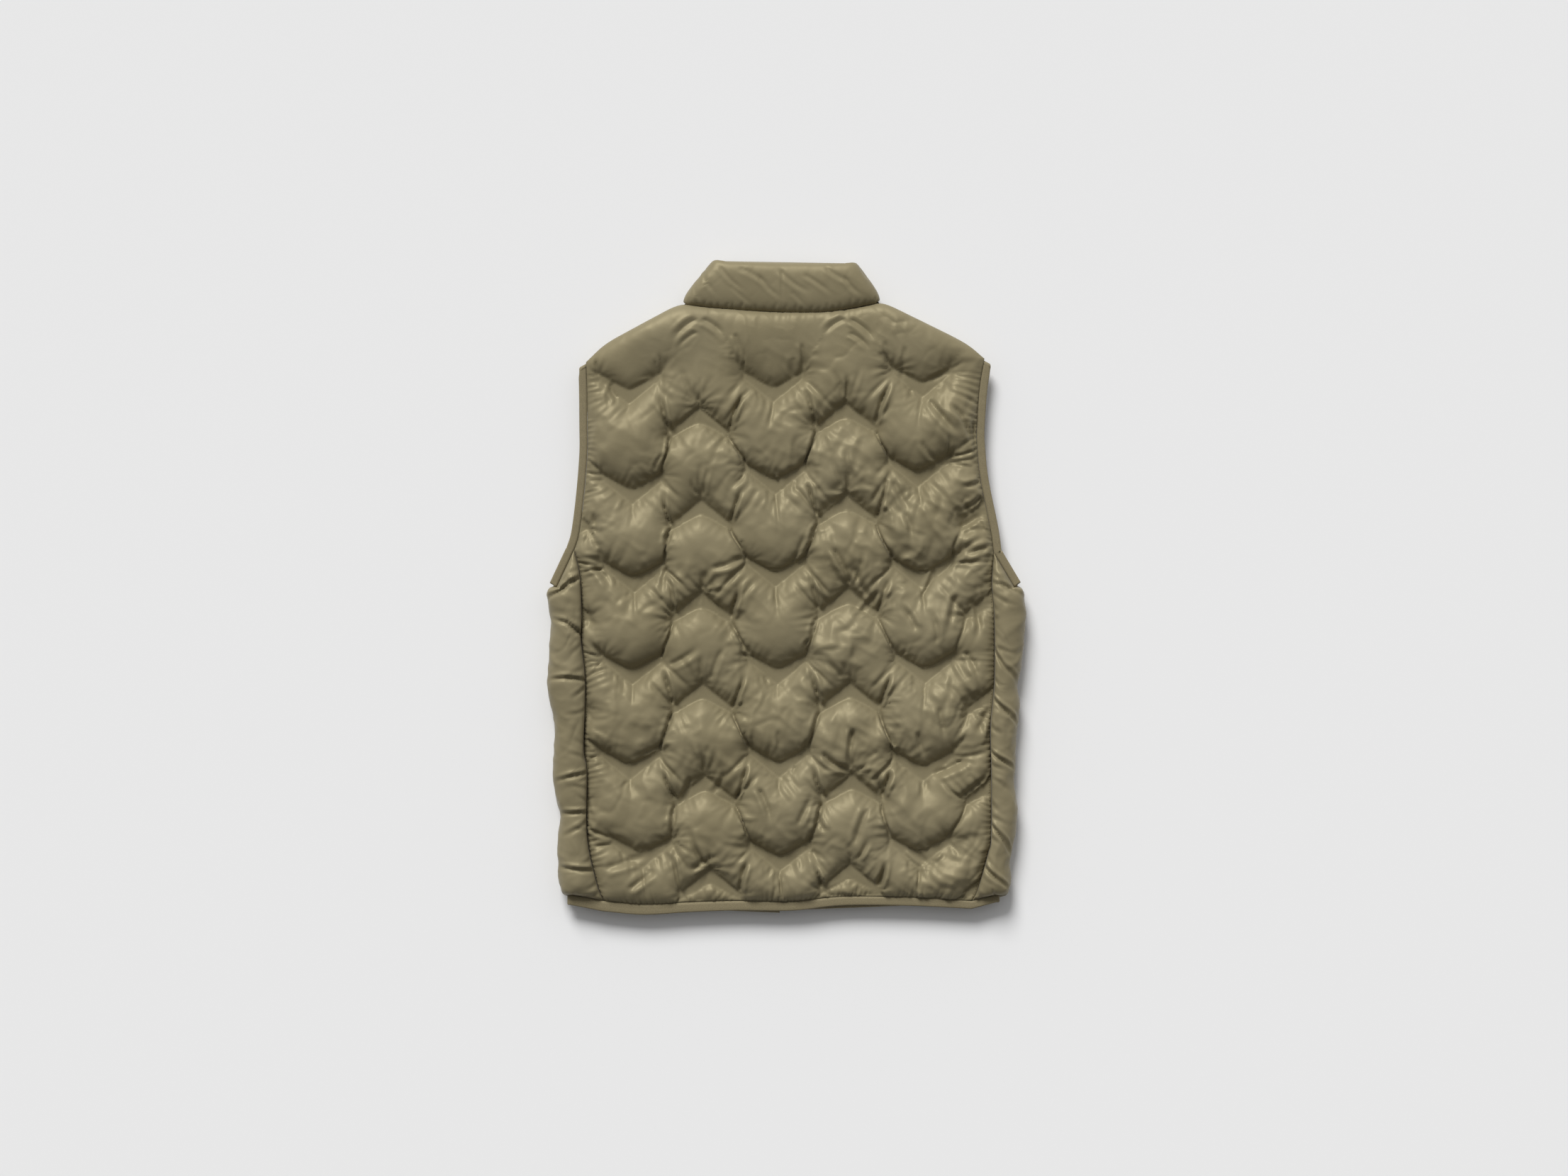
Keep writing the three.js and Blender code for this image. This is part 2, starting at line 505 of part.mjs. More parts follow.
function armholeBinding(side, edges) {
  const out = outward[side];
  const back = curvePoints(BACK_ARMHOLE[side], ARM_ROWS).reverse();
  const low = curvePoints(FRONT_ARMHOLE[side], ARM_ROWS);
  const station = (vertex, normal, width) => ({ vertex, ...normal, width });
  const backNormals = edgeNormals(back, out);
  const top = back.map((p, k) => station(topLayer(p, SEAM_WALL), backNormals[k], ARMHOLE_TAPE));
  const strip = [...edges.strip].reverse().slice(1);
  const stripNormals = edgeNormals(strip.map((v) => v.inner), out);
  const under = strip.map((vertex, k) => {
    const turned = k >= STRIP_COLUMNS - 1;
    const normal = turned ? { dx: 0, dy: 1 } : stripNormals[k];
    return station(vertex, normal, turned ? WRAP_TAPE : ARMHOLE_TAPE);
  });
  const lowNormals = edgeNormals(low, -out);
  const bottom = edges.arm.map((vertex, k) => station(vertex, lowNormals[k], ARMHOLE_TAPE));
  bottom[0] = station(edges.arm[0], { dx: 0, dy: 1 }, WRAP_TAPE);
  const tip = back[0];
  const over = FOLD_TURNS.slice(1, -1).map((turn) => station(
    foldedPoint({ x: tip.x, y: tip.y + foldDepth(SEAM_WALL) }, { x: 0, y: 1 }, SEAM_WALL, SEAM_WALL, turn),
    { dx: out, dy: 0 }, ARMHOLE_TAPE));
  return namedMesh(`armhole_binding_${side}`, tapeGeometry([...top, ...under, ...bottom, ...over], true), TAPE);
}

function hemBinding(left, right) {
  const stations = [];
  const add = (vertex, width) => stations.push({ vertex, dx: 0, dy: -1, width });
  left.edges.hem.slice(0, -1).forEach((vertex) => add(vertex, HEM_TAPE.left));
  backHem.forEach((p, i) => {
    const t = i / BACK_COLUMNS;
    const width = t < 0.5
      ? mix(HEM_TAPE.left, HEM_TAPE.middle, t * 2)
      : mix(HEM_TAPE.middle, HEM_TAPE.right, t * 2 - 1);
    add(topLayer(p, SEAM_WALL), width);
  });
  [...right.edges.hem].reverse().slice(1).forEach((vertex) => add(vertex, HEM_TAPE.right));
  return namedMesh('hem_binding', tapeGeometry(stations, false), TAPE);
}

// The collar is one padded band. Its stations run from the zip round the back to the zip.
function buildCollar(left, right) {
  const collarThickness = (v, endFade, x) => {
    let rise = COLLAR_RISE * Math.sin(Math.PI * clamp01(v * 0.93)) ** 0.7 * endFade;
    for (const gather of COLLAR_GATHERS) {
      const gatherX = mix(gather.seamX, gather.topX, v);
      rise -= gather.depth * smooth(1 - Math.abs(x - gatherX) / gather.halfWidth) * Math.sin(Math.PI * v);
    }
    return SEAM_WALL + Math.max(0, rise);
  };
  const foldThickness = (v) => collarThickness(v, COLLAR_FOLD_SHARE, Infinity);
  const vertices = [];
  const columns = [];
  const addColumn = (pointAt) => {
    const column = [];
    for (let k = 0; k <= COLLAR_ROWS; k += 1) column.push(vertices.push(pointAt(k / COLLAR_ROWS)) - 1);
    columns.push(column);
  };
  const foldLine = (side) => {
    const corner = SHOULDER[side].at(-1);
    const rise = { x: COLLAR_TOP[side].x - corner.x, y: COLLAR_TOP[side].y - corner.y };
    const length = Math.hypot(rise.x, rise.y);
    return {
      inward: { x: (-outward[side] * rise.y) / length, y: (outward[side] * rise.x) / length },
      base: mixPoint(corner, COLLAR_TOP[side], COLLAR_CORNER / length),
    };
  };

  const frontHalf = (side, edges) => {
    const { inward } = foldLine(side);
    const topEdge = curvePoints([
      { x: outward[side] * (ZIP_HALF + SEAM_GAP), y: COLLAR_FRONT_TOP },
      { x: outward[side] * 34, y: COLLAR_FRONT_TOP + 14 }, COLLAR_TOP[side],
    ], NECK_ROWS);
    return edges.neck.slice(0, -1).map((seam, k) => (v) => {
      const seamPoint = { x: seam.inner.x, y: seam.inner.y + SEAM_GAP * 1.4 };
      const p = mixPoint(seamPoint, topEdge[k], v);
      const push = (foldDepth(foldThickness(v)) + 2) * smooth((k - 2) / (NECK_ROWS - 3));
      p.x += inward.x * push * v;
      p.y += inward.y * push * v;
      const endFade = k ? mix(0.8, COLLAR_FOLD_SHARE, k / NECK_ROWS) : 0.25; // thin beside the zip
      return lowLayer(p, collarThickness(v, endFade, Infinity));
    });
  };
  const foldHalf = (side, turns) => turns.map((turn) => (v) => {
    const { inward, base } = foldLine(side);
    const edge = mixPoint(base, COLLAR_TOP[side], v);
    return foldedPoint(edge, { x: -inward.x, y: -inward.y }, foldThickness(v), foldThickness(v), turn);
  });
  const backHalf = backNeck.slice(2, -2).map((seam, k) => (v) => {
    const share = k / (BACK_COLUMNS - 4);
    const top = mixPoint(COLLAR_TOP.left, COLLAR_TOP.right, (k + 2) / BACK_COLUMNS);
    const p = mixPoint({ x: seam.x, y: seam.y + SEAM_GAP * 1.2 }, top, v);
    const push = foldDepth(foldThickness(v)) - foldDepth(SEAM_WALL);
    const inward = clamp01(1 - share * 2.4) - clamp01(1 - (1 - share) * 2.4);
    p.x += (push + COLLAR_NARROWING * v) * inward;
    const ends = mix(COLLAR_FOLD_SHARE, 1, smooth(Math.min(share, 1 - share) * 6));
    return topLayer(p, collarThickness(v, ends, p.x));
  });
  frontHalf('left', left.edges).forEach(addColumn);
  foldHalf('left', FOLD_TURNS).forEach(addColumn);
  backHalf.forEach(addColumn);
  foldHalf('right', [...FOLD_TURNS].reverse()).forEach(addColumn);
  frontHalf('right', right.edges).reverse().forEach(addColumn);
  return namedMesh('collar', wallGeometry(vertices, gridFaces(columns, vertices)), FABRIC);
}

function extrudedAlongX(shape, halfWidth) {
  const options = { depth: 2 * halfWidth, bevelEnabled: false, curveSegments: 12 };
  const geometry = new THREE.ExtrudeGeometry(shape, options);
  // Shape x becomes Y and shape y becomes Z.
  geometry.applyMatrix4(new THREE.Matrix4().set(0, 0, 1, -halfWidth, 1, 0, 0, 0, 0, 1, 0, 0, 0, 0, 0, 1));
  return geometry;
}

function buildZipTape() {
  const low = ZIP.tapeTop - ZIP.tapeThickness;
  const shape = new THREE.Shape([
    [-ZIP_HALF, ZIP.tapeTop], [-ZIP_HALF, low], [-ZIP.chainHalf, low], [-ZIP.chainHalf, low - ZIP.chainThickness],
    [ZIP.chainHalf, low - ZIP.chainThickness], [ZIP.chainHalf, low], [ZIP_HALF, low], [ZIP_HALF, ZIP.tapeTop],
  ].map(([x, y]) => new THREE.Vector2(x, y)));
  const length = COLLAR_FRONT_TOP - ZIP.bottom;
  const geometry = new THREE.ExtrudeGeometry(shape, { depth: length, bevelEnabled: false });
  // The section stands across Y: shape x stays X, shape y becomes Z.
  geometry.rotateX(Math.PI / 2);
  geometry.translate(0, COLLAR_FRONT_TOP, 0);
  return namedMesh('zip_tape', geometry, ZIP_TEETH);
}

const sliderTop = ZIP.tapeTop - ZIP.tapeThickness - ZIP.chainThickness - SEAM_GAP;
const pivotZ = sliderTop - SLIDER.thickness - PIVOT.drop;

async function buildSlider() {
  const wasm = await Module();
  wasm.setup();
  const solid = (geometry) => {
    geometry.deleteAttribute('normal');
    geometry.deleteAttribute('uv');
    const merged = mergeVertices(geometry, 1e-4);
    return new wasm.Manifold(new wasm.Mesh({
      numProp: 3, vertProperties: merged.attributes.position.array, triVerts: new Uint32Array(merged.index.array),
    }));
  };
  const body = new THREE.BoxGeometry(2 * SLIDER.halfWidth, SLIDER.length, SLIDER.thickness);
  body.translate(0, SLIDER.y, sliderTop - SLIDER.thickness / 2);
  let slider = solid(body);
  const lugTop = sliderTop - LUG.sunk;
  const lugBottom = pivotZ - PIVOT.radius - LUG.belowPin;
  for (const side of [-1, 1]) {
    const lug = new THREE.BoxGeometry(LUG.thickness, LUG.length, lugTop - lugBottom);
    lug.translate(side * (LUG.inner + LUG.thickness / 2), SLIDER.y, (lugTop + lugBottom) / 2);
    slider = slider.add(solid(lug));
  }
  const pinLength = 2 * (LUG.inner + PIVOT.reachIntoLug);
  const pin = new THREE.CylinderGeometry(PIVOT.radius, PIVOT.radius, pinLength, 16);
  pin.rotateZ(Math.PI / 2);
  pin.translate(0, SLIDER.y, pivotZ);
  const joined = slider.add(solid(pin)).getMesh();
  const geometry = new THREE.BufferGeometry();
  geometry.setAttribute('position', new THREE.Float32BufferAttribute(joined.vertProperties, 3));
  geometry.setIndex(new THREE.Uint32BufferAttribute(joined.triVerts, 1));
  return namedMesh('zip_slider', geometry, ZIP_METAL);
}

// The pull is a plate with a rolled eye. It hangs from the slider until its tip is at the floor.
function buildPull() {
  const half = PULL.thickness / 2;
  const shape = new THREE.Shape();
  const start = Math.asin(half / PIVOT.eyeRadius);
  shape.moveTo(-PULL.length, -half);
  shape.lineTo(-PIVOT.eyeRadius * Math.cos(start), -half);
  shape.absarc(0, 0, PIVOT.eyeRadius, Math.PI + start, 3 * Math.PI - start, false);
  shape.lineTo(-PULL.length, half);
  const hole = new THREE.Path();
  hole.absarc(0, 0, PIVOT.eyeHole, 0, 2 * Math.PI, true);
  shape.holes.push(hole);
  const mesh = namedMesh('zip_pull', extrudedAlongX(shape, PULL.halfWidth), ZIP_METAL);
  mesh.position.set(0, SLIDER.y, pivotZ);
  mesh.rotation.x = THREE.MathUtils.degToRad(PULL.hangDegrees);
  return mesh;
}

const left = frontPanel('left');
const right = frontPanel('right');
const vest = new THREE.Group();
vest.add(
  buildBack(), left.mesh, right.mesh, buildCollar(left, right),
  armholeBinding('left', left.edges), armholeBinding('right', right.edges), hemBinding(left, right),
  buildZipTape(), await buildSlider(), buildPull(),
);

export default vest;
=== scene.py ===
import math

import bmesh
import bpy
import numpy as np
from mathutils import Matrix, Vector


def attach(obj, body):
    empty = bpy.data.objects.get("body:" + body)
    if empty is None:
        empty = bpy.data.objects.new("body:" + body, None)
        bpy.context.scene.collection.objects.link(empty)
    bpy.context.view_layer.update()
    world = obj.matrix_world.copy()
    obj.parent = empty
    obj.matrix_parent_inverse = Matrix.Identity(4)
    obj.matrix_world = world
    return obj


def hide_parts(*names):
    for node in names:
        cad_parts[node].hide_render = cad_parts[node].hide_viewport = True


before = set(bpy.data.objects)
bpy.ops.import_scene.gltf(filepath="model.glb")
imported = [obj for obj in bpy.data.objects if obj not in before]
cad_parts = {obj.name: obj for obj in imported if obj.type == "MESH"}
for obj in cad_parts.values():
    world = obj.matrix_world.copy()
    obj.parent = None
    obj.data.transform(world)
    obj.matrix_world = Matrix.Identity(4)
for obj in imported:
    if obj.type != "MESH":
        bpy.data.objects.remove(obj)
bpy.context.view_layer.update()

# Puffer vest laid flat on its fronts, with its back up and its collar towards +Y.
# Sizes are in millimetres and MM turns them to metres. "left" is the wearer's left, -X.
MM = 0.001
OUT = {"left": -1, "right": 1}

# Levels and clearances, as in the part
GAP = 0.3
LAYER = 17.0
LINING_GAP = 0.15
WALL = 3.0
CREASE = 1.0
TOP_LINING = LAYER + LINING_GAP
LOW_LINING = LAYER - LINING_GAP
STRIP_RISE = 12.0
PUFF_SHOULDER = 22      # from a puff's seam to its full height
COLLAR_RISE = 9.0
ARMHOLE_TAPE = 9.0
HEM_TAPE = {"left": 12.0, "middle": 10.5, "right": 9.0}
ZIP_HALF = 7.0
NECK_AT_ZIP = 238.0
HEM_AT_ZIP = -358.0
COLLAR_TOP_AT_ZIP = 300.0
COLLAR_HEIGHT = 60
COLLAR_CORNER = 3.5

# Outlines of the pieces, as points of smooth curves: x, y
SIDE_FOLD = {
    "left": [(-249, -349), (-254.5, -339.5), (-258.5, -303.3), (-257.8, -279), (-254.5, -255),
             (-259.4, -243), (-262.6, -218.7), (-263.4, -206.6), (-261, -158.3), (-265.8, -134),
             (-269.8, -110), (-268.2, -98), (-265.8, -61.6), (-264.2, -37.5), (-269.8, -13.3), (-265, 0)],
    "right": [(243, -349), (253.7, -339.5), (252.5, -305), (258.6, -279), (261, -255), (260.2, -243),
              (256.2, -218.7), (258.6, -206.6), (261, -158.3), (263.4, -134), (260, -114), (263.4, -98),
              (268.2, -61.6), (269.8, -37.5), (268.2, -13.3), (263.5, 0)],
}
SIDE_SEAM = {
    "left": [(-207.4, -356.4), (-215.9, -333.1), (-225.9, -282.3), (-226.3, -209), (-229.6, -181.6),
             (-228, -108.3), (-232.8, -56.8), (-232, -27.8), (-234.4, 14.9), (-241, 42)],
    "right": [(211, -356.4), (217.5, -343.5), (229.2, -302.5), (232.8, -282.3), (232.8, -203.4),
              (232, -156.7), (236.4, -104.3), (236.4, -31.8), (233.6, 4.4), (236, 39)],
}
BACK_ARMHOLE = {
    "left": [(-241, 42), (-235.2, 61.6), (-229.6, 105.1), (-225.9, 151.8), (-225.9, 184.1),
             (-226.3, 228), (-227.5, 256)],
    "right": [(236, 39), (232, 67.3), (221.1, 121.2), (217, 160), (216.7, 184.1), (220, 228), (225.5, 260)],
}
FRONT_ARMHOLE = {
    "left": [(-259, 0), (-244, 30), (-229, 62), (-219, 105), (-215, 150), (-217, 200), (-222, 236),
             (-227.5, 256)],
    "right": [(257, 0), (241, 28), (225, 62), (212, 105), (207, 150), (209, 200), (216, 238),
              (225.5, 260)],
}
SHOULDER = {
    "left": [(-227.5, 256), (-204.6, 276.7), (-171.6, 295.2), (-118.4, 321)],
    "right": [(225.5, 260), (204.6, 276.7), (169.2, 295.2), (108, 323)],
}
BACK_NECK = [(-118.4, 321), (-85.4, 316.8), (-49.1, 313.7), (-12.9, 312.1), (28.2, 311.3),
             (64.4, 314.5), (108, 323)]
BACK_HEM = [(-207.4, -356.4), (-161.9, -360.5), (-111.2, -358), (-57.2, -356.4), (7.2, -357),
            (64.4, -351.6), (136.9, -352.4), (211, -356.4)]
COLLAR_TOP = {"left": (-80.5, 371), "right": (77.3, 368.5)}

# Bonded quilting bands by their tips: x, y, and 1 for a V or -1 for one turned over
BANDS = [
    (-178.8, 207.4, 1), (-174.8, 93.8, 1), (-172.4, -6.8, 1), (-174.8, -111.6, 1), (-177.2, -219.5, 1),
    (-163.5, -319.4, 1), (-14.5, 209.8, 1), (-12.1, 105.1, 1), (-12.1, -0.4, 1), (-9.7, -110.8, 1),
    (-8.1, -217.1, 1), (-7.2, -323.4, 1), (154.7, 215.5, 1), (149.8, 113.2, 1), (153.9, -2, 1),
    (157.9, -109.9, 1), (155.5, -221.1, 1), (151.4, -318.6, 1), (-99, 303, -1), (-98.7, 204.2, -1),
    (-96.7, 99.5, -1), (-95.9, -5.6, -1), (-95, -109.1, -1), (-91.8, -213.9, -1), (-86.2, -320.2, -1),
    (69.3, 303, -1), (67.7, 209.8, -1), (69.3, 105.1, -1), (70.1, -1.2, -1), (72.5, -108.3, -1),
    (74.9, -212.2, -1), (72.5, -314.5, -1),
    # These lie under the side seams, so that only one arm's end is on the back.
    (-259, 99, -1), (-257, -4, -1), (-258, -110, -1), (-259, -213, -1), (-259, -318, -1), (234, 104, -1),
    (238, -2, -1), (240, -110, -1), (238, -213, -1), (238, -318, -1),
]
# The two next to the neck hardly draw the satin down.
HELD_BANDS = [band for band in BANDS if band[1] < 300]
BAND_REACH = 34.0                          # tip to arm end, across
BAND_FAR = {"level": 0.0, "slope": 0.80}   # the tip's edge of an arm
BAND_NEAR = {"level": 16.5, "slope": 0.55}

# Folds of the back where the cloth is drawn tight along a line:
# from x, from y, to x, to y, half width, how much lower (0 to 1), spare cloth across
BACK_FOLDS = [
    (-246, 30, -205, -20, 12, 0.45, 0.10), (-222, 66, -200, 30, 9, 0.4, 0.10),
    (232, -176, 150, -245, 13, 0.5, 0.12), (228, -270, 140, -340, 14, 0.5, 0.12),
    (205, -330, 170, -352, 9, 0.4, 0.10), (196, 120, 212, 70, 10, 0.45, 0.12),
    (203, -28, 230, 20, 10, 0.4, 0.10), (-224, -206, -150, -245, 11, 0.4, 0.08),
    (-20, 262, 20, 230, 10, 0.3, 0.08), (110, -150, 60, -185, 11, 0.3, 0.08),
]
# Creases of the back: from x, y to x, y, bow to one side, half width, depth.
# They run out at the second end.
BACK_CREASES = [
    (-99, 299, -130, 276, 3, 5, 1.3), (-97, 299, -68, 278, -3, 5, 1.3), (-99, 286, -126, 266, 3, 4, 0.9),
    (69, 300, 40, 280, 3, 5, 1.3), (71, 300, 102, 277, -3, 5, 1.3), (70, 286, 98, 266, -3, 4, 0.9),
    (-62, 268, -52, 240, 3, 5, 0.8), (10, 262, 7, 238, 2, 5, 0.7), (106, 268, 112, 240, -3, 5, 0.8),
    (-213, 240, -216, 263, -1, 3, 1.2), (-132, 174, -142, 219, -2, 4.1, 4.7),
    (-144, 241, -149, 264, -2, 2.8, 1.2), (-203, 225, -200, 202, 1, 2.9, 1.1),
    (-195, 218, -196, 204, -2, 2.7, 1.1), (-208, 126, -213, 150, -2, 3.3, 1.2),
    (-131, 69, -139, 109, -3, 3, 4.7), (-141, 128, -143, 137, 0, 3.4, 1.4),
    (-183, 99, -188, 84, 0, 3.5, 0.7), (-164, 100, -165, 89, 0, 3.3, 0.8),
    (-174, 92, -171, 68, 0, 3, 0.9), (-129, -31, -137, 17, 3, 3, 3.5), (-196, 10, -195, -3, -2, 3.2, 1.3),
    (-178, -4, -181, -16, 1, 2.6, 0.9), (-210, -80, -218, -62, 1, 3.4, 1.6),
    (-129, -136, -140, -92, 1, 3.8, 4.7), (-142, -80, -138, -68, 0, 3.1, 2.1),
    (-187, -103, -185, -125, -1, 2.8, 1.2), (-197, -96, -195, -110, 1, 3.2, 0.8),
    (-153, -96, -161, -110, -1, 3, 0.6), (-192, -100, -189, -116, -1, 3, 1.3),
    (-125, -241, -139, -206, -3, 3, 5.3), (-142, -187, -145, -176, 1, 3.1, 2.4),
    (-180, -220, -185, -235, 2, 3.3, 0.7), (-153, -202, -160, -218, 0, 2.7, 1.3),
    (-120, -351, -128, -297, -1, 3, 3.2), (-129, -287, -122, -274, 3, 3.5, 1.7),
    (-146, -307, -144, -319, -2, 3.2, 1), (-178, -310, -176, -330, 0, 3.5, 0.8),
    (-189, -301, -185, -316, -1, 2.8, 1.3), (-155, -315, -151, -331, -1, 3.3, 0.8),
    (-64, 179, -51, 224, 1, 3.8, 3.8), (-50, 244, -53, 264, -3, 3.1, 1.4),
    (33, 180, 22, 225, 1, 3.7, 3.8), (-24, 215, -26, 194, 0, 3.3, 0.8), (-22, 214, -21, 194, 1, 3, 0.8),
    (-1, 219, 2, 205, 1, 3.6, 0.7), (-35, 224, -32, 206, -1, 2.7, 0.8), (-63, 73, -51, 112, 0, 3.1, 3.6),
    (-47, 140, -50, 161, 2, 3.6, 2), (35, 79, 24, 125, 0, 3.3, 5.2), (22, 139, 25, 157, -1, 3.1, 2.4),
    (-1, 112, 0, 91, 1, 2.8, 1.3), (13, 123, 11, 99, 1, 2.9, 1.3), (-62, -36, -52, 6, 0, 4.1, 4.2),
    (-47, 31, -45, 43, 1, 3.6, 1.4), (36, -28, 25, 20, 1, 4.3, 4.2), (1, 8, 1, -8, 1, 3.2, 0.7),
    (-11, -2, -14, -25, 1, 3.6, 1.3), (-61, -139, -48, -97, 1, 3.7, 4),
    (-44, -80, -53, -65, -3, 3.3, 2.4), (38, -138, 28, -89, 0, 4.3, 5), (24, -76, 32, -62, 3, 3.7, 1.8),
    (-26, -100, -19, -119, -1, 3.4, 0.6), (-26, -100, -22, -114, -1, 3, 1.1),
    (-57, -244, -44, -195, 1, 3.3, 4.3), (-43, -185, -47, -169, 2, 3.4, 2),
    (42, -240, 31, -202, -2, 4, 5), (-3, -215, -7, -237, 1, 2.8, 0.7), (12, -203, 6, -216, 0, 3, 1.4),
    (-6, -217, -10, -237, 1, 3.4, 0.7), (-52, -346, -45, -309, -1, 3.9, 3.9),
    (39, -343, 29, -311, 2, 3.9, 5.3), (26, -292, 33, -280, -1, 3.5, 1.9),
    (16, -307, 18, -324, -1, 3.1, 1), (-11, -322, -16, -341, 1, 3.4, 0.7),
    (-10, -323, -11, -344, -1, 2.8, 1), (102, 184, 120, 238, -2, 3.9, 4),
    (119, 248, 116, 272, -2, 3.5, 1.2), (136, 229, 138, 213, -1, 3, 0.7),
    (139, 226, 144, 212, -1, 2.7, 1.3), (180, 234, 173, 211, -1, 3.6, 0.8),
    (140, 225, 137, 209, -2, 3.1, 1), (103, 76, 114, 132, 2, 3.2, 3.6), (115, 144, 112, 166, 1, 3.1, 1.6),
    (185, 145, 189, 163, 0, 3.4, 1.9), (144, 116, 143, 93, 2, 3.5, 1), (155, 115, 154, 99, -1, 3, 0.8),
    (104, -31, 118, 12, -1, 4, 3.1), (120, 32, 117, 50, 3, 3.1, 1.7), (189, 30, 188, 45, 1, 3.1, 2.1),
    (155, -3, 158, -26, 0, 3.6, 1.3), (159, 0, 160, -12, 0, 2.8, 0.6), (106, -137, 120, -95, 0, 3.4, 4.5),
    (122, -75, 124, -59, -1, 3, 1.3), (146, -103, 150, -121, 1, 2.8, 0.8),
    (144, -101, 145, -124, 1, 2.8, 1.1), (165, -107, 161, -118, -2, 2.6, 0.8),
    (109, -238, 118, -201, 2, 4.4, 4.2), (122, -187, 116, -172, -2, 3.2, 2.2),
    (153, -221, 152, -241, -1, 2.8, 1.3), (161, -219, 163, -234, 1, 2.8, 1.1),
    (160, -220, 157, -237, 0, 3, 1.1), (106, -341, 112, -308, 1, 4.3, 4.5),
    (117, -284, 113, -265, 2, 3.5, 1.6), (162, -312, 166, -330, 2, 3.5, 1),
    (167, -308, 164, -323, 0, 3.5, 1.3), (138, -310, 138, -326, -1, 3, 0.9),
    (-133, 172, -139, 141, -2, 3.6, 3.3), (-141, 153, -151, 129, 3, 3, 1.5),
    (-65, 172, -47, 143, 1, 4, 1.9), (-44, 150, -44, 137, 2, 2.7, 1.6),
    (-106, 209, -120, 250, 0, 4.8, 1.3), (-99, 211, -102, 234, -3, 4.1, 1.8),
    (-131, 68, -137, 40, 4, 3.9, 3.6), (-138, 49, -141, 31, 0, 2.6, 1.4), (-63, 68, -53, 45, 3, 4.1, 2.2),
    (-48, 57, -45, 35, 0, 2.8, 1.9), (-100, 106, -106, 127, -3, 3.3, 1.4),
    (-95, 103, -95, 143, -3, 3.6, 1.2), (-93, 104, -87, 138, -2, 3.5, 1.7),
    (-130, -38, -139, -68, -3, 3.6, 2.3), (-62, -38, -45, -76, 0, 4.1, 2.7),
    (-43, -63, -33, -87, 0, 3, 1.3), (-93, -3, -87, 24, -1, 4.6, 1.7), (-94, -2, -91, 21, -2, 4.8, 1.5),
    (-129, -141, -144, -180, 2, 3.6, 2.1), (-61, -141, -47, -168, 3, 4, 1.9),
    (-44, -161, -40, -177, 3, 3.1, 1.9), (-104, -105, -121, -76, 2, 4, 0.9),
    (-97, -101, -96, -75, -1, 3.9, 1.5), (-85, -106, -70, -65, -3, 4.4, 1.6),
    (-126, -246, -131, -283, 3, 3.5, 3.4), (-58, -246, -45, -282, -3, 3.9, 3.3),
    (-97, -209, -110, -174, 0, 3.7, 1.3), (-94, -210, -100, -176, 2, 3.8, 1.9),
    (-91, -209, -86, -175, -3, 3.5, 1), (-88, -210, -82, -174, 3, 4.3, 1),
    (-95, -315, -111, -270, -1, 4.7, 1.9), (-93, -316, -105, -288, 0, 4.9, 1.6),
    (34, 178, 22, 142, 1, 3.9, 2.2), (102, 178, 113, 151, -2, 3.4, 2.6),
    (116, 160, 120, 138, 1, 2.8, 1.5), (69, 215, 68, 240, 2, 5, 1.5), (72, 214, 84, 253, 1, 3.6, 1),
    (63, 216, 52, 248, 3, 3.9, 1.4), (35, 73, 24, 46, 3, 4.1, 2.8), (22, 54, 13, 42, -2, 3.1, 1.1),
    (103, 73, 118, 34, 3, 3.3, 2.8), (71, 110, 74, 146, 2, 4.9, 2), (62, 112, 52, 149, 1, 4.4, 1.7),
    (36, -33, 28, -64, 4, 3.6, 2), (25, -57, 21, -68, 3, 3.2, 1.7), (104, -33, 122, -73, 0, 3.1, 2.4),
    (71, 3, 77, 31, 0, 4.8, 1.7), (76, 2, 92, 28, -1, 4.1, 1.4), (61, 3, 44, 48, -1, 3.9, 1.3),
    (76, 6, 85, 44, 3, 3.6, 1.9), (38, -140, 26, -183, 3, 4.1, 2.8), (20, -170, 13, -190, -2, 2.9, 1.5),
    (106, -140, 118, -180, 1, 3.5, 2), (123, -173, 131, -188, 0, 2.8, 1.7),
    (69, -101, 65, -82, -1, 3.8, 1.5), (64, -101, 45, -79, 0, 4.9, 2), (41, -244, 30, -281, 2, 4.1, 3.4),
    (24, -272, 21, -293, -2, 3.4, 1.2), (109, -244, 116, -280, 3, 3.1, 2),
    (84, -207, 105, -178, -1, 4.9, 1.8), (73, -205, 67, -185, 2, 3.7, 1.7),
    (75, -208, 77, -184, 0, 3.4, 1.5), (80, -310, 92, -283, 1, 4, 1), (81, -307, 93, -285, 1, 4.2, 1.4),
    (74, -307, 74, -288, -3, 4.5, 0.9), (162, 213, 195, 172, 2, 5.1, 3.1),
    (186, 207, 213, 151, -3, 4.2, 2.4), (153, 170, 181, 137, 3, 4.2, 2.1),
    (209, 193, 218, 142, 1, 4.2, 3.1), (195, 68, 222, 86, 3, 5.1, 2.8), (202, 38, 232, 49, 1, 5.1, 3.1),
    (135, 86, 142, 49, -4, 4.2, 2.1), (121, 123, 144, 86, 3, 4.2, 2.1), (183, 22, 227, 59, -4, 5.1, 2.8),
    (169, 22, 149, -20, -3, 4.2, 3.1), (195, -6, 181, -52, 2, 5.1, 2.8), (77, 26, 102, -15, 3, 5.1, 3.1),
    (54, 45, 75, 3, -1, 4.2, 2.8), (107, -1, 75, -43, 0, 4.2, 2.4), (202, -71, 218, -117, -4, 4.2, 2.4),
    (213, -168, 250, -117, -2, 6.8, 3.1), (167, -214, 213, -186, 3, 6, 2.8),
    (195, -237, 232, -205, 1, 5.1, 2.8), (42, -186, 75, -205, 4, 5.1, 3.1),
    (77, -161, 72, -205, 2, 4.2, 3.5), (102, -209, 116, -249, 0, 5.1, 3.1),
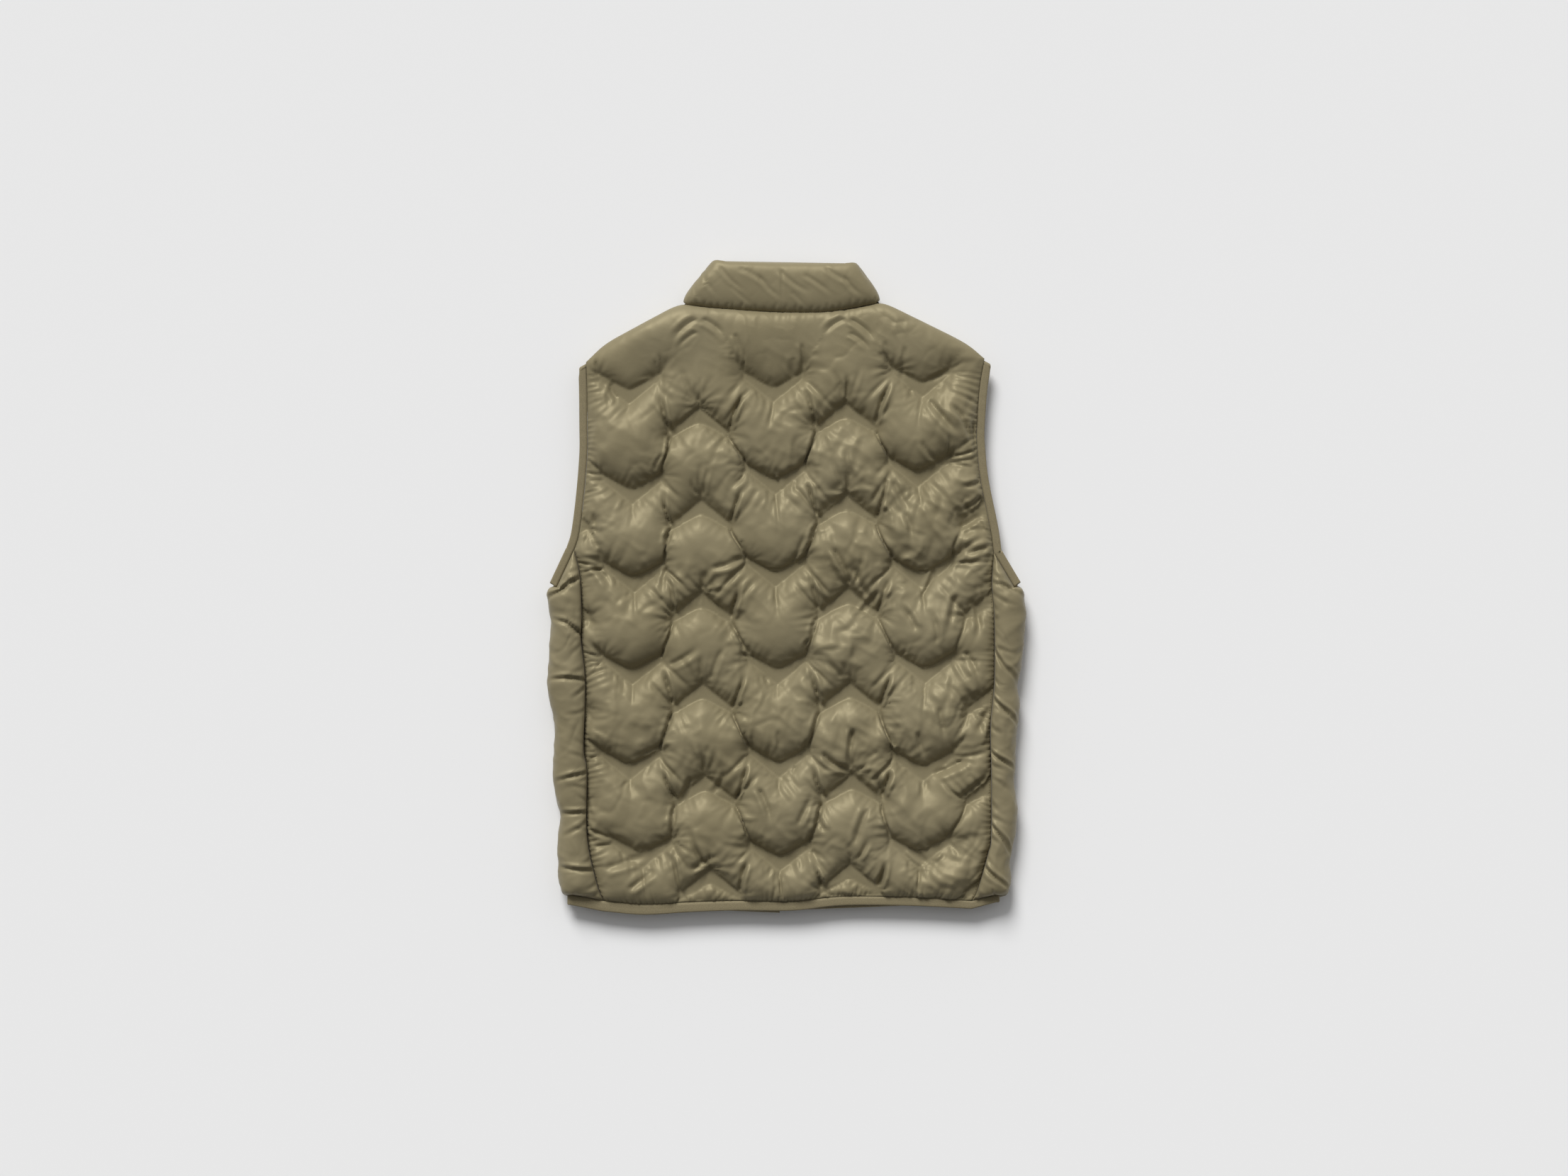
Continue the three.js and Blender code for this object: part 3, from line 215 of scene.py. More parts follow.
    (28, -297, 51, -334, 1, 5.1, 2.8), (139, -293, 167, -316, 2, 5.1, 2.4),
    (-32, -228, -16, -269, -3, 4.2, 2.8), (-110, -212, -120, -251, -1, 5.1, 2.8),
    (-207, -320, -156, -302, 1, 6, 2.4), (-180, -343, -145, -320, 0, 5.1, 2.4),
    (-221, 26, -198, -6, -2, 5.1, 2.8), (-217, 86, -206, 49, 2, 4.2, 1.2),
    (-133, 26, -140, -11, 2, 4.2, 3.1), (-110, -320, -73, -302, -2, 5.1, 2.4),
    (10, -269, 28, -233, 0, 5.1, 2.4), (-87, 22, -46, 40, 3, 5.1, 2.4), (3, 26, 19, 68, 1, 4.2, 2.1),
    (75, 123, 68, 160, -2, 4.2, 1.8), (-145, 267, -140, 211, -2, 4.2, 1.2),
    (-198, 234, -190, 210, 4, 4.2, 2.4), (18, 276, 14, 238, -4, 4.2, 1.2),
    (-59, 285, -48, 257, 0, 4.2, 1.2), (-48, 257, -45, 245, 3, 3.4, 1.2),
    (135, 276, 130, 230, -1, 4.2, 1.2), (188, 246, 158, 232, 1, 5.1, 1.2),
    (112, 280, 119, 243, 1, 4.2, 1.2), (-133, -89, -96, -66, 2, 5.1, 2.1),
    (-221, -117, -235, -154, 0, 4.2, 2.1), (149, -48, 130, -20, 2, 4.2, 2.4),
    (169, -62, 162, -25, 3, 4.2, 2.1), (216, -15, 213, -62, -4, 5.1, 2.8),
    (222, 123, 195, 114, -3, 4.2, 2.8), (220, 105, 190, 86, -3, 4.2, 2.4),
    (149, -159, 158, -191, 1, 4.2, 2.1), (172, -135, 181, -172, 1, 4.2, 2.4),
    (-9, -159, -4, -191, 2, 3.4, 1.8), (-166, -186, -133, -172, 1, 5.1, 2.1),
    (-69, -205, -87, -237, -4, 5.1, 2.1), (47, -279, 31, -251, -1, 4.2, 2.8),
    (93, -251, 75, -302, 2, 5.1, 2.4),
]
# Creases of the strips: y at the seam, y at the other end, share of the width, bow, half width, depth
STRIP_CREASES = {
    "left": [
        (-60, -37, 1, 3, 3.2, 3.5), (-107, -107, 1, 3, 3.2, 3.2), (-209, -220, 1, 0, 3.2, 2.5),
        (-256, -255, 1, 0, 3.2, 3.1), (-322, -315, 1, 0, 3.2, 2.9), (12, -20, 1, 2, 3.2, 3.7),
        (-345, -352, 0.94, -3, 3.5, 1), (-333, -343, 0.43, -1, 3.3, 0.8), (-321, -326, 0.81, 2, 3.2, 0.6),
        (-303, -313, 0.4, -2, 3.3, 1.1), (-280, -272, 0.59, 1, 2.9, 0.7), (-260, -283, 0.9, -3, 4.2, 1.1),
        (-247, -234, 0.48, -1, 3.1, 0.8), (-233, -225, 0.71, 2, 3.6, 0.8),
        (-214, -222, 0.47, -1, 2.9, 0.9), (-199, -188, 0.66, 2, 3.6, 0.8),
        (-179, -170, 0.57, -3, 4.3, 0.7), (-158, -138, 0.36, -1, 3.4, 0.5),
        (-136, -147, 0.75, -2, 3.8, 0.8), (-122, -107, 0.37, -2, 3.5, 0.8),
        (-109, -129, 0.54, 0, 3.4, 1.1), (-88, -103, 0.59, -1, 4.2, 0.6), (-73, -61, 0.43, 3, 4, 0.8),
        (-62, -82, 0.53, 1, 4.3, 0.6), (-42, -60, 0.49, 1, 2.9, 0.8), (-26, -31, 0.91, -2, 3.9, 0.6),
        (-3, 6, 0.56, 2, 3.6, 1), (20, -1, 0.7, 2, 3.7, 0.9),
    ],
    "right": [
        (-60, -113, 1, -1, 3.2, 2.2), (-180, -209, 1, -1, 3.2, 3), (-262, -305, 1, 1, 3.2, 2.7),
        (-310, -341, 1, -2, 3.2, 2.7), (5, -15, 1, 4, 3.2, 2.5), (-120, -160, 1, 2, 3.2, 2.9),
        (-345, -363, 0.92, -1, 3.7, 1.1), (-324, -342, 0.72, -1, 3.5, 0.6),
        (-302, -326, 0.58, 3, 2.9, 0.5), (-285, -295, 0.57, 4, 3, 0.6), (-271, -290, 0.49, -4, 3.7, 0.7),
        (-257, -271, 0.74, 0, 3.8, 0.8), (-235, -260, 0.55, -1, 4.2, 0.7),
        (-214, -234, 0.76, 4, 4.1, 0.6), (-195, -210, 0.69, -1, 3.3, 1), (-177, -187, 0.5, -1, 3.1, 0.8),
        (-165, -170, 0.39, -3, 3.9, 0.5), (-148, -169, 0.64, -3, 4.2, 1.1),
        (-136, -146, 0.65, 2, 3.4, 0.9), (-122, -142, 0.55, -1, 4, 1.1), (-100, -117, 0.6, 2, 3.8, 1.1),
        (-79, -85, 0.58, 1, 3.2, 0.6), (-68, -84, 0.91, 4, 3, 0.9), (-51, -69, 0.59, 3, 4.4, 0.5),
        (-31, -37, 0.38, -2, 4, 1.2), (-18, -30, 0.37, 0, 3.6, 0.7), (-3, -25, 0.85, -2, 3.4, 0.9),
        (18, -8, 0.58, 2, 3.7, 1.1),
    ],
}
# Creases of the collar, on its flat cloth: from x, y above the seam to x, y, bow, half width, depth
COLLAR_CREASES = [
    (-96, 46, -70, 14, 2, 3.5, 0.78), (-74, 52, -38, 22, 3, 3.5, 0.72), (-52, 50, -12, 30, -2, 4, 0.59),
    (-30, 44, 2, 16, 2, 3.5, 0.65), (-8, 52, 34, 24, 3, 4, 0.72), (20, 46, 58, 18, -2, 3.5, 0.65),
    (44, 54, 80, 30, 2, 4, 0.59), (66, 40, 92, 12, 2, 3.5, 0.72), (-60, 30, -30, 8, 1, 3, 0.52),
    (8, 26, 30, 6, -1, 3, 0.45), (-104, 26, -88, 6, 1, 3, 0.59), (86, 50, 104, 28, 1, 3.5, 0.59),
    (-2, 52, 1, 8, 1, 2.6, 0.39), (-104, 1, -106, 10, 0, 2.9, 0.59), (-95, 1, -97, 11, 0, 2.2, 0.78),
    (-88, 1, -87, 11, 0, 2.4, 0.72), (-79, 1, -80, 9, 0, 2.3, 0.91), (-71, 1, -73, 10, 0, 2.6, 0.98),
    (-63, 1, -61, 12, 0, 2.5, 0.85), (-55, 1, -57, 13, 0, 2.7, 0.78), (-47, 1, -44, 15, 0, 3, 0.72),
    (-35, 1, -34, 10, 0, 2.2, 0.52), (-28, 1, -31, 12, 0, 2.8, 0.59), (-18, 1, -21, 10, 0, 3, 0.45),
    (-9, 1, -7, 15, 0, 2.8, 0.65), (3, 1, 5, 14, 0, 3, 0.52), (16, 1, 15, 14, 0, 2.4, 0.91),
    (22, 1, 22, 11, 0, 2.5, 0.65), (32, 1, 34, 12, 0, 2.7, 0.65), (40, 1, 43, 11, 0, 2.3, 0.65),
    (51, 1, 50, 14, 0, 2.6, 0.78), (59, 1, 56, 10, 0, 2.5, 0.65), (65, 1, 65, 12, 0, 2.5, 0.72),
    (77, 1, 76, 15, 0, 2.5, 0.85), (84, 1, 87, 12, 0, 3, 0.59), (93, 1, 94, 10, 0, 2.4, 0.78),
    (106, 1, 105, 10, 0, 2.5, 0.98),
]
# Fine crumples of the satin: size across, size along, lean in degrees, depth, seed
CRUMPLES = [(30, 64, 24, 7.0, 87), (22, 56, -36, 5.5, 89), (17, 50, 58, 4.0, 81)]
# Section of a crease: how hard it is pressed, and the lip beside its groove, in half widths
GROOVE = {"press": 1.7, "sharpness": 1.4, "lip": 0.4, "lip_place": 1.3, "lip_width": 0.5}
# Creases that stand square to the bands: cell, reach, depth, seed
GATHERS = [(9.0, 24, 3.4, 77), (6.0, 15, -2.2, 78)]
# Stars of creases at a band's places: reach, depth
STARS = {"arm end": (27, 3.0), "upper tip": (36, 3.0), "lower tip": (26, 2.0)}
ARM_DROP = 31.0          # from a band's tip to its arm end, along
PUCKER_PITCH = 7.0
PUCKER_REACH = 8
PUCKER_DEPTH = {"side": 0.9, "armhole": 0.8, "hem": 1.2, "neck": 1.1, "strip": 0.45}
PUCKER_FOOT = 2          # from the seam to the puckers' full depth

# Cells of the coarsest grids. Each finer one has half the spacing.
SPACING = 8
HEM_ROWS = 8             # coarse rows that follow the hem's curve, and the neck's
NECK_ROWS = 18
BACK_GRID = {"side": 50, "armhole": 27, "shoulder": 16, "columns": 58}
FRONT_GRID = {"side": 44, "armhole": 32, "neck": 12, "low": 22, "fold": 7, "strip": 4}
COLLAR_GRID = {"front": 19, "fold": 4, "back": 28, "rows": 8}
# How the padded pieces settle: cells in place of one at each level, steps there, the filling's push,
# and dents that are given to each finer grid
SETTLING = {
    "back": {"levels": (1, 2, 4), "steps": (300, 250, 200), "quick_steps": (60, 50, 40), "push": 0.08,
             "dents": 1.2},
    "front": {"levels": (2, 4), "steps": (160, 140), "quick_steps": (40, 40), "push": 0.2, "dents": 0.8},
    "collar": {"levels": (2, 4), "steps": (160, 140), "quick_steps": (40, 40), "push": 0.2, "dents": 0.6},
}
# How high the filling can push the skin, and how much cloth is spare
LOFT = {"back": 21.0, "front": 17.0, "collar": 11.0}
SPARE = {"back": 0.06, "front": 0.04, "collar": 0.015}
# Uneven slack of the back: width of its patches, seed, share
BACK_PATCHES = [(85, 3, 0.5), (34, 11, 0.9), (16, 12, 0.45)]
# Where the back is tighter or slacker than elsewhere: change of its spare cloth, over this reach
NECK_SLACK = {"start": 235, "reach": 30, "change": -0.035}
SIDE_SLACK = {"end": 250, "reach": 12, "change": 0.07}
HEM_SLACK = {"reach": 12, "change": 0.08}
# How flat the back lies beside its bands and its side seams: loft there, over this reach
BAND_FLATNESS = (0.45, 14)
SIDE_FLATNESS = (0.55, 34)
LOWEST = 0.8             # how far a skin can sink below its seams
BULGE = {"side": -0.2, "armhole": 1.2}
SHOULDER_START = 190.0   # from here on the back is flatter, over this run
SHOULDER_RUN = 60.0
SHOULDER_EDGE = 1.2      # the wall's height at the shoulder seams
STRIP_WIDTH = 46.0       # from the fold to the side seam, on the cloth
SIDE_STITCH = 3.2
TAPE_STITCH = 3.0

NOISE_CELLS = 64         # the noises repeat past this many of their cells


def smooth(t):
    """From 0 to 1, level at both ends."""
    t = np.clip(t, 0.0, 1.0)
    return t * t * (3 - 2 * t)


def puff(t):
    """Side view of a puff, steep at the seam and flat on top."""
    return np.sqrt(1 - (1 - np.clip(t, 0.0, 1.0)) ** 2)


def mix(a, b, t):
    return a + (b - a) * t


def spaced(points, steps):
    """Evenly spaced points of a smooth curve through the given ones."""
    p = np.array(points, float)
    p = np.vstack([2 * p[0] - p[1], p, 2 * p[-1] - p[-2]])
    t = np.linspace(0, 1, 40, endpoint=False)[:, None]
    fine = []
    for a, b, c, d in zip(p, p[1:], p[2:], p[3:]):
        fine.append(0.5 * (2 * b + (c - a) * t + (2 * a - 5 * b + 4 * c - d) * t ** 2
                           + (3 * b - a - 3 * c + d) * t ** 3))
    fine = np.vstack(fine + [p[-2][None]])
    along = np.concatenate([[0], np.cumsum(np.linalg.norm(np.diff(fine, axis=0), axis=1))])
    even = np.linspace(0, along[-1], steps + 1)
    return np.stack([np.interp(even, along, fine[:, k]) for k in range(fine.shape[1])], 1)


def unevenness(xy, size, seed):
    """Smooth patches from -1 to 1, each about as wide as size."""
    table = np.random.default_rng(seed).uniform(-1, 1, (NOISE_CELLS, NOISE_CELLS))
    p = xy / size + NOISE_CELLS / 2
    cell = np.floor(p).astype(int)
    f = smooth(p - cell)
    cell = cell % (NOISE_CELLS - 1)
    row, column = cell[..., 1], cell[..., 0]
    low = mix(table[row, column], table[row, column + 1], f[..., 0])
    high = mix(table[row + 1, column], table[row + 1, column + 1], f[..., 0])
    return mix(low, high, f[..., 1])


def ripples(x, y, seed):
    """Gradient noise from about -0.7 to 0.7 with cells of size 1, for creases with crisp lines."""
    turns = np.random.default_rng(seed).uniform(0, 2 * math.pi, (NOISE_CELLS, NOISE_CELLS))
    column, row = np.floor(x).astype(int), np.floor(y).astype(int)
    fx, fy = x - column, y - row

    def corner(dx, dy):
        turn = turns[(row + dy) % NOISE_CELLS, (column + dx) % NOISE_CELLS]
        return np.cos(turn) * (fx - dx) + np.sin(turn) * (fy - dy)

    ux, uy = (f ** 3 * (f * (f * 6 - 15) + 10) for f in (fx, fy))
    return mix(mix(corner(0, 0), corner(1, 0), ux), mix(corner(0, 1), corner(1, 1), ux), uy)


def band_distance(xy, bands):
    """Distance from each point to the nearest quilting band, negative inside it."""
    nearest = np.full(xy.shape[:-1], 1e6)
    far_slope, near_slope = BAND_FAR["slope"], BAND_NEAR["slope"]
    for x, y, way in bands:
        across = np.abs(xy[..., 0] - x)
        rise = (xy[..., 1] - y) * way
        far = (BAND_FAR["level"] + far_slope * across - rise) / math.hypot(1, far_slope)
        near = (rise - BAND_NEAR["level"] - near_slope * across) / math.hypot(1, near_slope)
        nearest = np.minimum(nearest, np.maximum(np.maximum(far, near), across - BAND_REACH))
    return nearest


def band_slope(xy, bands, distance, step):
    """How much the distance to a band grows over a small step along x, and along y."""
    return np.stack([band_distance(xy + [step, 0], bands) - distance,
                     band_distance(xy + [0, step], bands) - distance], -1)


def snapped_to_bands(xy, bands, spacing):
    """Moves the points next to a band's border onto it, so that its edge is crisp."""
    step = 0.05
    for _ in range(2):
        d = band_distance(xy, bands)
        slope = band_slope(xy, bands, d, step)
        near = np.abs(d) < spacing / 2
        near[[0, -1]] = False
        near[:, [0, -1]] = False
        xy = xy - np.where(near, d, 0)[..., None] * slope / step
    return xy


class Cloth:
    """A padded piece as a grid of points: where its skin starts and is sewn, and how slack it is."""

    def __init__(self, start, seam, lining, out, flat, loft, spare):
        shape = start.shape[:2]
        self.start = start              # first place of the skin
        self.seam = seam                # the skin's place where the wall is sewn flat
        self.lining = lining
        self.out = out                  # unit direction from lining to skin
        self.flat = flat                # place in the flat cut cloth
        self.loft = np.full(shape, float(loft))
        self.spare = np.zeros(shape + (3,))     # along x, along y, and their slant
        self.spare[..., :2] = spare
        self.held = np.zeros(shape, bool)
        self.alive = np.ones(shape, bool)
        self.fence = None
        self.sag = 0.0                  # pull towards the hem, as a share of the filling's push
        self.hand = 1                   # -1 where rows and columns run the other way round

    def hold_border(self):
        self.held[[0, -1]] = True
        self.held[:, [0, -1]] = True

    def draw_tight(self, profile, direction, lower, across, along=0.03):
        """Tight along a direction, slack across it, and lower, in the places that profile gives."""
        tx, ty = direction
        self.spare[..., 0] += profile * (across * ty * ty - along * tx * tx)
        self.spare[..., 1] += profile * (across * tx * tx - along * ty * ty)
        self.spare[..., 2] += profile * (-across * tx * ty - along * tx * ty)
        self.loft *= 1 - lower * profile

    def fold(self, ax, ay, bx, by, half_width, lower, across):
        """Draws the cloth tight along a line from a to b."""
        length = math.hypot(bx - ax, by - ay)
        tx, ty = (bx - ax) / length, (by - ay) / length
        dx, dy = self.flat[..., 0] - ax, self.flat[..., 1] - ay
        along = (dx * tx + dy * ty) / length
        past_end = np.maximum(np.maximum(-along, along - 1), 0) * length
        beside = np.hypot(dx * ty - dy * tx, past_end)
        fade = smooth(np.minimum(along, 1 - along) * 4 + 0.4)
        self.draw_tight(smooth(1 - beside / half_width) * fade, (tx, ty), lower, across)


def creased(skin, flat, out, rows):
    """Presses creases into the skin: grooves with a soft lip, that run out at their second end."""
    for ax, ay, bx, by, bow, half_width, depth in rows:
        length = math.hypot(bx - ax, by - ay)
        tx, ty = (bx - ax) / length, (by - ay) / length
        dx, dy = flat[..., 0] - ax, flat[..., 1] - ay
        along = (dx * tx + dy * ty) / length
        beside = (dx * ty - dy * tx - bow * 4 * along * (1 - along)) / half_width
        near = (along > 0) & (along < 1) & (np.abs(beside) < 3)
        along, beside = along[near], beside[near]
        fade = smooth(along * 6) * smooth((1 - along) * 2.2)
        groove = np.clip(1 - np.abs(beside), 0, 1) ** GROOVE["sharpness"]
        lip = GROOVE["lip"] * np.exp(-((beside - GROOVE["lip_place"]) / GROOVE["lip_width"]) ** 2)
        skin[near] += out[near] * (GROOVE["press"] * depth * fade * (lip - groove))[:, None]


def crumpled(skin, flat, out, amount):
    """Presses uneven facets into the skin, with sharp ridges and folds between them."""
    way = 1
    for size_across, size_along, lean, depth, seed in CRUMPLES:
        angle = math.radians(lean)
        x = flat[..., 0] * math.cos(angle) + flat[..., 1] * math.sin(angle)
        y = flat[..., 1] * math.cos(angle) - flat[..., 0] * math.sin(angle)
        warp = 0.5 * ripples(flat[..., 0] / 21, flat[..., 1] / 21, seed + 1)
        facets = np.abs(ripples(x / size_across + warp, y / size_along - warp, seed))
        skin += out * (amount * depth * way * (0.12 - np.minimum(facets, 0.3)))[..., None]
        way = -way


def starred(skin, xy, out, bands):
    """Creases that run out from the ends and the tips of the bands, where the cloth is caught."""
    places = [(x + side * (BAND_REACH - 1), y + way * ARM_DROP, *STARS["arm end"])
              for x, y, way in bands for side in (-1, 1)]
    places += [(x, y + 2, *STARS["upper tip"]) if way < 0 else (x, y - 1, *STARS["lower tip"])
               for x, y, way in bands]
    for number, (x, y, reach, depth) in enumerate(places):
        dx, dy = xy[..., 0] - x, xy[..., 1] - y
        away = np.hypot(dx, dy)
        near = (away > 0.5) & (away < 1.6 * reach)
        dx, dy, away = dx[near], dy[near], away[near]
        turn = np.stack([dx, dy], -1) / away[:, None]
        across, along = turn[:, 0] * 2.1 + number * 5.3, turn[:, 1] * 2.1 + away / 60
        rays = 1.6 * ripples(across, along, 60 + number)
        size = 1 + 0.45 * math.sin(number * 2.4)
        fade = smooth(away / 5) * (1 - smooth(away / (reach * size)))
        skin[near] += out[near] * (depth * size * fade * (0.35 - np.abs(rays)))[:, None]


def gathered(skin, xy, out, bands):
    """Creases that stand square to the bands' borders and die out on the puffs."""
    step = 0.5
    away = band_distance(xy, bands)
    foot = xy - away[..., None] * band_slope(xy, bands, away, step) / step
    size = 1 + unevenness(xy, 33, 76)
    for cell, reach, depth, seed in GATHERS:
        rays = ripples(foot[..., 0] / cell + away / 60, foot[..., 1] / cell, seed)
        fade = smooth(away / 4) * (1 - smooth(away / (reach * np.maximum(size, 0.4))))
        skin += out * (depth * size * fade * (0.22 - np.abs(rays)))[..., None]


def puckered(skin, run, from_seam, out, depth, seed):
    """Small uneven gathers beside a seam, from the tight stitches."""
    line = np.stack([run, 0 * run], -1)
    wave = np.abs(ripples(run / PUCKER_PITCH, from_seam / 40, seed)) * 2.2
    size = 1 + 0.7 * unevenness(line, 23, seed + 1)
    reach = PUCKER_REACH * (1 + 0.6 * unevenness(line, 11, seed + 2))
    skin -= out * (depth * size * wave * np.exp(-(from_seam / reach) ** 2))[..., None]


def grid_pairs():
    """Slices of a grid for pairs of points that are linked. No point is twice in one batch."""
    whole = slice(None)
    pairs = []
    for k in (0, 1):
        first, second = slice(k, -1, 2), slice(k + 1, None, 2)
        pairs.append(((whole, first), (whole, second), "straight"))
        pairs.append(((first, whole), (second, whole), "straight"))
        pairs.append(((first, slice(None, -1)), (second, slice(1, None)), "slant"))
        pairs.append(((first, slice(1, None)), (second, slice(None, -1)), "slant"))
    for k in range(4):
        first, second = slice(k, -2, 4), slice(k + 2, None, 4)
        pairs.append(((whole, first), (whole, second), "bend"))
        pairs.append(((first, whole), (second, whole), "bend"))
    return pairs


# How firmly a link resists being too long, and too short
FIRMNESS = {"straight": (1.0, 1.0), "slant": (0.35, 0.35), "bend": (0.0, 0.02)}


def linked(cloth):
    """The cloth's links: slices, lengths in slack cloth, each end's share of a move, and firmness."""
    free = (~cloth.held & cloth.alive).astype(np.float32)
    links = []
    for a, b, kind in grid_pairs():
        rows = min(cloth.start[a].shape[0], cloth.start[b].shape[0])
        columns = min(cloth.start[a].shape[1], cloth.start[b].shape[1])

        def cut(field, part):
            return field[part][:rows, :columns]

        length = np.linalg.norm(cut(cloth.start, b) - cut(cloth.start, a), axis=-1)
        dx, dy = np.moveaxis(cut(cloth.flat, b) - cut(cloth.flat, a), -1, 0)
        spare = 0.5 * (cut(cloth.spare, a) + cut(cloth.spare, b))
        square = np.maximum(dx * dx + dy * dy, 1e-9)
        share = (spare[..., 0] * dx * dx + spare[..., 1] * dy * dy + 2 * spare[..., 2] * dx * dy) / square
        whole = (cut(cloth.alive, a) & cut(cloth.alive, b)).astype(np.float32)
        free_a, free_b = cut(free, a) * whole, cut(free, b) * whole
        both = np.maximum(free_a + free_b, 1e-6)
        links.append((a, b, rows, columns, (length * (1 + share)).astype(np.float32),
                      free_a / both, free_b / both, FIRMNESS[kind]))
    return links


def inflated(skin, cloth, steps, push, drag=0.92):
    """Lets the filling push the skin out, and the slack hang a little, until the slack is taken up."""
    skin = skin.astype(np.float32)
    seam, out = cloth.seam.astype(np.float32), cloth.out.astype(np.float32)
    free = (~cloth.held & cloth.alive).astype(np.float32)
    links = linked(cloth)
    moving = np.zeros_like(skin)
    for _ in range(steps):
        across, along = np.zeros_like(skin), np.zeros_like(skin)
        across[:, 1:-1] = skin[:, 2:] - skin[:, :-2]
        along[1:-1] = skin[2:] - skin[:-2]
        normal = np.cross(across, along)
        normal /= np.maximum(np.linalg.norm(normal, axis=-1, keepdims=True), 1e-6)
        normal *= cloth.hand
        height = ((skin - seam) * out).sum(-1)
        room = np.clip(1 - height / cloth.loft, -1, 1)
        moving = moving * drag + normal * (push * room * free)[..., None]
        moving[..., 1] -= push * cloth.sag * free
        before = skin.copy()
        skin = skin + moving * free[..., None]
        for a, b, rows, columns, rest, share_a, share_b, (long, short) in links:
            end_a, end_b = skin[a][:rows, :columns], skin[b][:rows, :columns]
            d = end_b - end_a
            length = np.sqrt((d * d).sum(-1)) + 1e-9
            gap = length - rest
            d *= (np.where(gap > 0, long, short) * gap / length)[..., None]
            end_a += d * share_a[..., None]
            end_b -= d * share_b[..., None]
        sunk = np.minimum(((skin - seam) * out).sum(-1) + LOWEST, 0) * free
        skin -= out * sunk[..., None]
        if cloth.fence:
            cloth.fence(skin)
        moving = skin - before
    return skin


def refined(skin):
    """The same surface with twice as many rows and columns."""
    for axis in (0, 1):
        skin = np.moveaxis(skin, axis, 0)
        fine = np.zeros((2 * len(skin) - 1,) + skin.shape[1:], skin.dtype)
        fine[::2] = skin
        fine[1::2] = (skin[1:] + skin[:-1]) / 2
        fine[3:-3:2] += (skin[1:-2] + skin[2:-1] - skin[:-3] - skin[3:]) / 16
        skin = np.moveaxis(fine, 0, axis)
    return skin


def puffed(pattern, levels, steps, quick_steps, push, dents):
    """Sews, fills and settles a piece, from a coarse grid to a fine one."""
    skin = None
    for level, count in zip(levels, steps):
        cloth = pattern(level)
        if skin is None:
            skin = cloth.start.copy()
        else:
            skin = refined(skin)
            skin += cloth.out * (unevenness(cloth.flat, 20 / level, 20 + level) * dents)[..., None]
        skin[cloth.held] = cloth.start[cloth.held]
        skin = inflated(skin, cloth, count, push / level)
    skin[~cloth.alive] = cloth.start[~cloth.alive]
    return skin, cloth


def grid_mesh(name, skin, lining, alive=None):
    """A closed wall from two grids of points. A lining that is a number is a flat face at that height."""
    rows, columns = skin.shape[:2]
    bm = bmesh.new()
    bmesh.ops.create_grid(bm, x_segments=columns - 1, y_segments=rows - 1, size=1)
    number = bm.verts.layers.int.new("number")
    inner = bm.verts.layers.int.new("inner")
    for k, vert in enumerate(bm.verts):
        vert[number] = k
    if alive is not None and not alive.all():
        whole = alive.ravel()
        gone = [face for face in bm.faces if not all(whole[vert[number]] for vert in face.verts)]
        bmesh.ops.delete(bm, geom=gone, context="FACES")
    plain = np.isscalar(lining)
    if plain:
        rim = [edge for edge in bm.edges if edge.is_boundary]
        made = bmesh.ops.extrude_edge_only(bm, edges=rim)["geom"]
    else:
        made = bmesh.ops.extrude_face_region(bm, geom=bm.faces[:])["geom"]
    for item in made:
        if isinstance(item, bmesh.types.BMVert):
            item[inner] = 1
            item.co.z -= 1
    if plain:
        rim = [item for item in made if isinstance(item, bmesh.types.BMEdge) and item.is_boundary]
        bmesh.ops.holes_fill(bm, edges=rim, sides=0)
    bmesh.ops.recalc_face_normals(bm, faces=bm.faces[:])
    mesh = bpy.data.meshes.new(name)
    bm.to_mesh(mesh)
    bm.free()
    numbers = np.zeros(len(mesh.vertices), np.int32)
    inside = np.zeros(len(mesh.vertices), np.int32)
    mesh.attributes["number"].data.foreach_get("value", numbers)
    mesh.attributes["inner"].data.foreach_get("value", inside)
    outer = skin.reshape(-1, 3)[numbers]
    if plain:
        back = outer.copy()
        back[:, 2] = lining
    else:
        back = lining.reshape(-1, 3)[numbers]
    place = np.where(inside[:, None] == 1, back, outer) * MM
    mesh.vertices.foreach_set("co", place.astype(np.float32).ravel())
    for layer in ("number", "inner"):
        mesh.attributes.remove(mesh.attributes[layer])
    mesh.update()
    bm = bmesh.new()
    bm.from_mesh(mesh)
    if bm.calc_volume(signed=True) < 0:
        bmesh.ops.reverse_faces(bm, faces=bm.faces[:])
        bm.to_mesh(mesh)
    bm.free()
    mesh.shade_smooth()
    return mesh


def placed(mesh, material):
    """A piece that rides on the vest."""
    obj = bpy.data.objects.new(mesh.name, mesh)
    bpy.context.scene.collection.objects.link(obj)
    mesh.materials.clear()
    mesh.materials.append(material)
    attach(obj, "vest")
    return obj


# Materials

def linear(code):
    """A linear colour from sRGB hex."""
    parts = [int(code[k:k + 2], 16) / 255 for k in (1, 3, 5)]
    return tuple(c / 12.92 if c <= 0.04045 else ((c + 0.055) / 1.055) ** 2.4 for c in parts) + (1.0,)


def add_node(material, kind, settings=None, **links):
    """Adds a node. settings are its properties and inputs by name, links are sockets for its inputs."""
    node = material.node_tree.nodes.new(kind)
    for key, value in (settings or {}).items():
        if key in node.inputs:
            node.inputs[key].default_value = value
        else:
            setattr(node, key, value)
    for key, socket in links.items():
        material.node_tree.links.new(socket, node.inputs[key.replace("_", " ")])
    return node


def new_material(name, **values):
    material = bpy.data.materials.new(name)
    material.use_nodes = True
    shader = material.node_tree.nodes["Principled BSDF"]
    for key, value in values.items():
        shader.inputs[key.replace("_", " ")].default_value = value
    return material, shader


